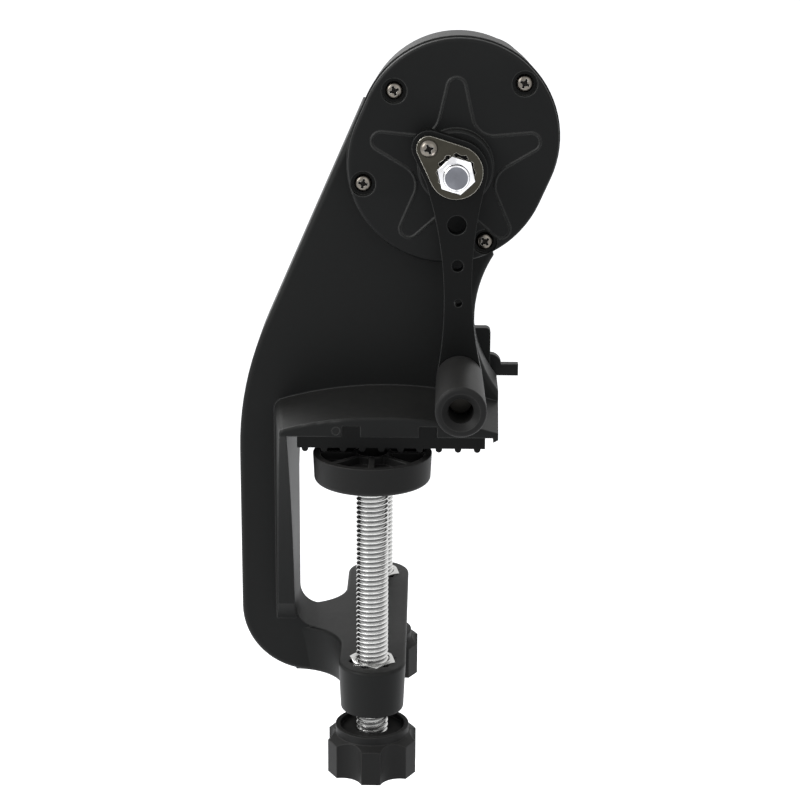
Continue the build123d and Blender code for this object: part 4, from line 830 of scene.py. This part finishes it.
@dataclass
class ScrewSet:
    """All the screws of one CAD node, joined into one piece."""

    shop: Workshop
    node: str
    body: str
    slot: str
    places: Sequence[tuple[float, float]]
    seat_y: float
    axis: Point
    length: float
    turns: Sequence[float] = (20.0, 65.0, -12.0, 40.0)

    def build(self) -> bpy.types.Object:
        """Model the set in place of its node.

        Returns:
            The joined piece.
        """
        made = []
        for (x, z), turn in zip(self.places, self.turns):
            seat = (x, self.seat_y, z)
            screw = CrossHeadScrew(f"{self.node}_part", seat, self.axis, self.length, turn=turn)
            made.append(screw.build())
        whole = joined(made, f"{self.node}_cross_head")
        return self.shop.place(whole, self.body, self.slot, (SCREW_STEEL, PAINTED_RECESS_SHADE), self.node)


def joined(things: Sequence[bpy.types.Object], name: str) -> bpy.types.Object:
    """Join several pieces into one mesh."""
    bm = bmesh.new()
    for thing in things:
        bm.from_mesh(thing.data)
        mesh = thing.data
        bpy.data.objects.remove(thing)
        bpy.data.meshes.remove(mesh)
    mesh = bpy.data.meshes.new(name)
    bm.to_mesh(mesh)
    bm.free()
    whole = bpy.data.objects.new(name, mesh)
    bpy.context.scene.collection.objects.link(whole)
    return whole


@dataclass
class ClampScrew:
    """Threaded clamp screw with its neck and riveted tip. Sizes are in millimetres."""

    shop: Workshop
    side: str
    pitch: float = 1.5
    root_radius: float = 4.15
    neck_radius: float = 2.4
    neck_length: float = 4.0

    def build(self) -> bpy.types.Object:
        """Model the screw over its CAD node.

        Returns:
            The dressed piece.
        """
        node = f"clamp_screw_{self.side}"
        low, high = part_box(node)
        crest = (high.x - low.x) / 2 / MM
        centre = Vector(((low.x + high.x) / 2, (low.y + high.y) / 2, 0)) / MM
        bottom = low.z / MM
        shoulder = high.z / MM - self.neck_length
        rod = Mesher().thread(crest, self.root_radius, self.pitch, bottom, shoulder)
        rod.move(Matrix.Translation(centre))
        screw = rod.make(f"{node}_thread", smooth=25.0)
        top = high.z / MM
        neck = Mesher().revolve([(0, shoulder - 1), (self.neck_radius, shoulder - 1),
                                 (self.neck_radius, top - 0.5), (self.neck_radius - 0.4, top - 0.1),
                                 (self.neck_radius * 0.5, top), (0, top)], 32)
        neck.move(Matrix.Translation(centre))
        whole = joined([screw, neck.make("neck")], f"{node}_threaded")
        # The thread's roots get painted shade
        finish = replace(ZINC, name=f"zinc_thread_{self.side}", colour=(0.72, 0.72, 0.71),
                         centre=tuple(centre * MM), root_shade=(self.root_radius, crest - 0.15),
                         root_shade_colour=(0.22, 0.22, 0.22))
        return self.shop.place(whole, f"{self.side}_screw", "zinc", finish, node)


@dataclass
class HexNut:
    """Chamfered hexagon nut along Z in place of a CAD nut. Sizes are in millimetres."""

    shop: Workshop
    side: str
    flats: float = 13.2
    bore: float = 5.05
    turn: float = 12.0

    def build(self) -> bpy.types.Object:
        """Model the nut over its CAD node.

        Returns:
            The dressed piece.
        """
        node = f"clamp_nut_{self.side}"
        low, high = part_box(node)
        centre = Vector(((low.x + high.x) / 2, (low.y + high.y) / 2, 0)) / MM
        bottom, top = low.z / MM, high.z / MM
        corner = self.flats / 2 / math.cos(math.pi / 6)
        nut = Mesher().prism(6, self.flats, bottom, top, self.turn).make(f"{node}_chamfered")
        chamfer = Mesher().revolve([(0, bottom - 1), (corner + 1, bottom - 1), (corner + 1, top - 1.05),
                                    (self.flats / 2 - 0.3, top), (0, top)], 64)
        carved(nut, chamfer.make("cutter"), "INTERSECT")
        hole = Mesher().revolve([(0, bottom - 1), (self.bore, bottom - 1), (self.bore, top - 0.6),
                                 (self.bore + 1.0, top + 0.4), (0, top + 0.4)], 64)
        carved(nut, hole.make("cutter"), "DIFFERENCE")
        nut.data.transform(Matrix.Translation(centre * MM))
        sharpen(nut)
        return self.shop.place(nut, "frame", "zinc", ZINC, node)


@dataclass
class CrownNut:
    """Bright hexagon nut with a turned crown on the crank. Sizes are in millimetres."""

    shop: Workshop
    flats: float = 10.0
    crown_radius: float = 3.9
    hex_height: float = 7.2
    end_radius: float = 3.3
    turn: float = 13.0

    def build(self) -> bpy.types.Object:
        """Model the nut over its CAD node.

        Returns:
            The dressed piece.
        """
        low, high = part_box("crank_nut")
        centre = Vector(((low.x + high.x) / 2, high.y, (low.z + high.z) / 2)) / MM
        total = (high.y - low.y) / MM
        corner = self.flats / 2 / math.cos(math.pi / 6)
        nut = Mesher().prism(6, self.flats, 0, self.hex_height, self.turn).make("crank_nut_bright")
        chamfer = Mesher().revolve([(0, -1), (corner + 1, -1), (corner + 1, self.hex_height - 1.0),
                                    (self.flats / 2 - 0.35, self.hex_height), (0, self.hex_height)], 64)
        carved(nut, chamfer.make("cutter"), "INTERSECT")
        rim = self.crown_radius
        crown = Mesher().revolve([(0, self.hex_height - 0.5), (rim, self.hex_height - 0.5),
                                  (rim, total - 0.55), (rim - 0.16, total - 0.18), (rim - 0.55, total),
                                  (rim - 0.75, total - 0.05), (rim * 0.5, total - 0.12),
                                  (0, total - 0.16)], 64)
        whole = joined([nut, crown.make("crown")], "crank_nut_crowned")
        for face in whole.data.polygons:
            middle = face.center / MM
            is_end = face.normal.z > 0.9 and middle.z > total - 0.3
            face.material_index = int(is_end and math.hypot(middle.x, middle.y) < self.end_radius)
        whole.data.transform(Matrix.Translation(centre * MM) @ along((0, -1, 0)))
        sharpen(whole, 30.0)
        bright = replace(CHROME, name="turned_steel", colour=(0.80, 0.80, 0.82), relief=Relief.TURNED,
                         grain=0.035, depth=0.25, centre=tuple(centre * MM))
        end = replace(bright, name="crown_end", colour=(0.17, 0.175, 0.195), roughness=0.30,
                      variation=0.25)
        return self.shop.place(whole, "crank", "bright_steel", (bright, end), "crank_nut")


@dataclass
class GearCover:
    """Oval cover with its hub and a raised wavy star line.

    The CAD cover's inner pocket for the spindle's bush, and its spigot's notches, are not modelled.
    Sizes are in millimetres. The plan is X and Z of the frame, and heights run towards the crank.
    """

    shop: Workshop
    middle: tuple[float, float] = (23.7, 85.6)
    hub: tuple[float, float] = (24.5, 81.5)
    radius: float = 30.1
    spread: float = 4.2
    heading: float = 66.3
    back: float = 20.5
    thickness: float = 4.0
    edge: float = 1.0
    hub_edge: float = 0.5
    hub_radius: float = 11.4
    hub_height: float = 5.4
    hub_bore: float = 6.0
    inner_boss: float = 4.5
    spigot_inset: float = 3.15
    spigot_depth: float = 1.5
    counterbore_radius: float = 3.8
    counterbore_depth: float = 2.2
    screw_hole_radius: float = 1.56
    overlap: float = 0.5
    cutter_reach: float = 1.0
    star_tip: float = 23.7
    star_tip_radius: float = 2.8
    star_valley: float = 19.3
    star_valley_radius: float = 6.5
    star_arms: int = 5
    line_width: float = 0.8
    line_height: float = 0.32

    def build(self) -> bpy.types.Object:
        """Model the cover over its CAD node.

        Returns:
            The dressed piece.
        """
        front = self.back + self.thickness
        cover = self._slab(self.radius, self.back, front)
        edges = [e for e in cover.bm.edges if all(v.co.z > front - 0.01 for v in e.verts)]
        bmesh.ops.bevel(cover.bm, geom=edges, offset=self.edge, offset_type="OFFSET", segments=4,
                        profile=0.5, affect="EDGES", clamp_overlap=True, material=-1)
        whole = cover.make("gear_cover_star")
        spigot = self._slab(self.radius - self.spigot_inset, self.back - self.spigot_depth,
                            self.back + self.overlap)
        carved(whole, spigot.make("spigot"), "UNION")
        boss = self._rod(self.hub, self.hub_radius, self.back - self.inner_boss,
                         front + self.hub_height, self.hub_edge)
        carved(whole, boss.make("boss"), "UNION")
        carved(whole, self._openings(front).make("openings"), "DIFFERENCE")
        line = joined([whole, self._star(front).make("star")], "gear_cover_star_line")
        to_frame = Matrix(((1, 0, 0, 0), (0, 0, -1, 0), (0, 1, 0, 0), (0, 0, 0, 1)))
        line.data.transform(to_frame)
        sharpen(line)
        return self.shop.place(line, "frame", "cover_black", COVER, "gear_cover")

    def _slab(self, radius: float, low: float, high: float) -> Mesher:
        """An oval slab on the cover's plan."""
        slab = Mesher().oval(radius, self.spread, self.heading, low, high)
        return slab.move(Matrix.Translation((*self.middle, 0)))

    @staticmethod
    def _rod(place: tuple[float, float], radius: float, low: float, high: float,
             edge: float = 0.0) -> Mesher:
        """A round rod with its upper edge broken."""
        profile = [(0, low), (radius, low), (radius, high - edge), (radius - edge, high), (0, high)]
        return Mesher().revolve(profile, 64).move(Matrix.Translation((*place, 0)))

    def _openings(self, front: float) -> Mesher:
        """The hub's bore, the counterbores and the screw holes."""
        tool = self._rod(self.hub, self.hub_bore, self.back - self.inner_boss - self.cutter_reach,
                         front + self.hub_height + self.cutter_reach)
        low = self.back - self.spigot_depth - self.cutter_reach
        seat, top = front - self.counterbore_depth, front + self.cutter_reach
        narrow, wide = self.screw_hole_radius, self.counterbore_radius
        for x, z in COVER_SCREW_PLACES:
            hole = Mesher().revolve([(0, low), (narrow, low), (narrow, seat), (wide, seat), (wide, top),
                                     (0, top)], 32)
            hole.move(Matrix.Translation((x, z, 0)))
            mesh = bpy.data.meshes.new("hole")
            hole.bm.to_mesh(mesh)
            hole.bm.free()
            tool.bm.from_mesh(mesh)
            bpy.data.meshes.remove(mesh)
        return tool

    def _star(self, front: float) -> Mesher:
        """The raised line, a little proud of the face."""
        half = self.line_width / 2
        outlines = [self._outline(grow) for grow in (-half, -half * 0.4, half * 0.4, half)]
        low, high = front - 0.05, front + self.line_height
        star = Mesher().ridge(outlines, (low, high, high, low))
        return star.move(Matrix.Translation((*self.hub, 0)))

    def _outline(self, grow: float) -> list[tuple[float, float]]:
        """The star's wavy outline: round tips and round valleys joined by straight flanks.

        Args:
            grow: How far it lies outside the line's middle.

        Returns:
            Points round the hub.
        """
        step = math.pi / self.star_arms
        tip = Vector((self.star_tip, 0.0))
        valley = Vector((math.cos(step), math.sin(step))) * self.star_valley
        across = valley - tip
        lean = math.acos((self.star_tip_radius + self.star_valley_radius) / across.length)
        normal = math.atan2(across.y, across.x) - lean
        tip_arc, valley_arc = normal, normal - step
        points = []
        for arm in range(self.star_arms):
            heading = math.pi / 2 + 2 * step * arm
            points += self._arc(self.star_tip, heading, self.star_tip_radius + grow, heading - tip_arc,
                                heading + tip_arc)
            heading += step
            points += self._arc(self.star_valley, heading, self.star_valley_radius - grow,
                                heading + math.pi + valley_arc, heading + math.pi - valley_arc)
        return points

    @staticmethod
    def _arc(distance: float, heading: float, radius: float, start: float,
             end: float) -> list[tuple[float, float]]:
        """Points of an arc whose centre lies at a distance and heading."""
        steps = 10
        x, y = distance * math.cos(heading), distance * math.sin(heading)
        angles = (start + (end - start) * index / steps for index in range(steps + 1))
        return [(x + radius * math.cos(angle), y + radius * math.sin(angle)) for angle in angles]


@dataclass
class Studio:
    """Camera, light, floor and backdrop. The camera's place is in millimetres."""

    place: Point = (16.75, -622.5, 179.6)
    pitch: float = 16.0
    yaw: float = 0.826
    roll: float = 0.3
    lens: float = 90.0
    floor_z: float = -0.36
    floor_glow: float = 0.80
    backdrop: Colour = (0.98, 0.98, 0.98)

    def build(self) -> None:
        """Set everything up."""
        scene = bpy.context.scene
        scene.view_settings.view_transform = "Standard"
        self._camera(scene)
        self._world(scene)
        self._floor()
        self._light("key_softbox", (-760, -460, 620), 620, 8.0)
        self._light("front_fill", (420, -900, 420), 700, 1.4)
        self._light("rim_softbox", (-380, 520, 520), 480, 3.0)

    def _camera(self, scene: bpy.types.Scene) -> None:
        """The camera at the photograph's angle."""
        pitch, yaw, roll = (math.radians(v) for v in (self.pitch, self.yaw, self.roll))
        forward = Vector((-math.sin(yaw) * math.cos(pitch), math.cos(yaw) * math.cos(pitch),
                          -math.sin(pitch)))
        right = Vector((math.cos(yaw), math.sin(yaw), 0))
        up = right.cross(forward)
        across = math.cos(roll) * right + math.sin(roll) * up
        above = -math.sin(roll) * right + math.cos(roll) * up
        data = bpy.data.cameras.new("view")
        data.lens = self.lens
        data.sensor_width = 36.0
        data.clip_start = 0.01
        data.clip_end = 30.0
        camera = bpy.data.objects.new("view", data)
        turn = Matrix((across, above, -forward)).transposed().to_4x4()
        camera.matrix_world = Matrix.Translation(Vector(self.place) * MM) @ turn
        scene.collection.objects.link(camera)
        scene.camera = camera

    def _world(self, scene: bpy.types.Scene) -> None:
        """Pale backdrop for the camera and for reflections, softer light for the rest."""
        world = bpy.data.worlds.new("studio")
        world.use_nodes = True
        tree = world.node_tree
        tree.nodes.clear()
        out = tree.nodes.new("ShaderNodeOutputWorld")
        seen = tree.nodes.new("ShaderNodeBackground")
        seen.inputs["Color"].default_value = (*self.backdrop, 1.0)
        lit = tree.nodes.new("ShaderNodeBackground")
        lit.inputs["Color"].default_value = (0.92, 0.95, 1.0, 1.0)
        lit.inputs["Strength"].default_value = 0.40
        mix = tree.nodes.new("ShaderNodeMixShader")
        tree.links.new(self._seen_or_mirrored(tree), mix.inputs["Fac"])
        tree.links.new(lit.outputs[0], mix.inputs[1])
        tree.links.new(seen.outputs[0], mix.inputs[2])
        tree.links.new(mix.outputs[0], out.inputs["Surface"])
        scene.world = world

    @staticmethod
    def _seen_or_mirrored(tree: bpy.types.NodeTree) -> bpy.types.NodeSocket:
        """1 for what the camera or a gloss sees, 0 for what only lights other surfaces."""
        path = tree.nodes.new("ShaderNodeLightPath")
        direct = tree.nodes.new("ShaderNodeMath")
        direct.operation = "MAXIMUM"
        tree.links.new(path.outputs["Is Camera Ray"], direct.inputs[0])
        tree.links.new(path.outputs["Is Glossy Ray"], direct.inputs[1])
        return direct.outputs[0]

    def _floor(self) -> None:
        """A pale floor well under the winder."""
        bm = bmesh.new()
        bmesh.ops.create_grid(bm, x_segments=2, y_segments=2, size=6.0,
                              matrix=Matrix.Translation((0, 0, self.floor_z)))
        mesh = bpy.data.meshes.new("floor")
        bm.to_mesh(mesh)
        bm.free()
        floor = bpy.data.objects.new("floor", mesh)
        bpy.context.scene.collection.objects.link(floor)
        material = bpy.data.materials.new("floor_white")
        material.use_nodes = True
        shader = material.node_tree.nodes["Principled BSDF"]
        shader.inputs["Base Color"].default_value = (0.95, 0.95, 0.95, 1.0)
        shader.inputs["Roughness"].default_value = 0.9
        shader.inputs["Specular IOR Level"].default_value = 0.1
        shader.inputs["Emission Color"].default_value = (1.0, 1.0, 1.0, 1.0)
        tree = material.node_tree
        glow = tree.nodes.new("ShaderNodeMath")
        glow.operation = "MULTIPLY"
        glow.inputs[1].default_value = self.floor_glow
        tree.links.new(self._seen_or_mirrored(tree), glow.inputs[0])
        tree.links.new(glow.outputs[0], shader.inputs["Emission Strength"])
        mesh.materials.append(material)

    @staticmethod
    def _light(name: str, place: Point, size: float, power: float) -> None:
        """A soft square light that faces the middle of the winder.

        Args:
            name: Light name.
            place: Its centre in millimetres.
            size: Its side in millimetres.
            power: Its power in watts.
        """
        data = bpy.data.lights.new(name, "AREA")
        data.size = size * MM
        data.energy = power
        light = bpy.data.objects.new(name, data)
        start = Vector(place) * MM
        aim = Vector((5, 0, 5)) * MM
        turn = (aim - start).to_track_quat("-Z", "Y").to_matrix().to_4x4()
        light.matrix_world = Matrix.Translation(start) @ turn
        bpy.context.scene.collection.objects.link(light)


COVER_SCREW_PLACES = ((5.9, 103.8), (44.8, 106.2), (-3.4, 75.8), (33.7, 58.3))
SEAT_SCREW_PLACES = ((-9.5, 16.0), (0.0, 16.0), (30.0, 19.2))
KEEPER_SCREW_PLACES = ((16.4, 88.6),)
FORWARD: Point = (0, -1, 0)
BACKWARD: Point = (0, 1, 0)


def main() -> None:
    """Build the winder piece by piece."""
    logging.basicConfig(level=logging.INFO, format="%(name)s: %(message)s")
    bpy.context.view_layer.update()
    shop = Workshop()
    LOG.info("cad nodes dressed: %d", CadFinishes(shop, {"knob_pin": PIN_STEEL}).build())
    for side in ("front", "rear"):
        LOG.info("built %s", ClampScrew(shop, side).build().name)
        LOG.info("built %s", HexNut(shop, side).build().name)
    LOG.info("built %s", CrownNut(shop).build().name)
    LOG.info("built %s", GearCover(shop).build().name)
    sets = (
        ScrewSet(shop, "cover_screws", "frame", "bright_steel", COVER_SCREW_PLACES, -22.3, FORWARD, 12.0),
        ScrewSet(shop, "retainer_screw", "crank", "bright_steel", KEEPER_SCREW_PLACES, -37.0, FORWARD, 5.5),
        ScrewSet(shop, "seat_screws", "frame", "bright_steel", SEAT_SCREW_PLACES, 13.0, BACKWARD, 8.8),
    )
    for group in sets:
        LOG.info("built %s", group.build().name)
    Studio().build()
    LOG.info("sizes written")


if __name__ == "__main__":
    main()
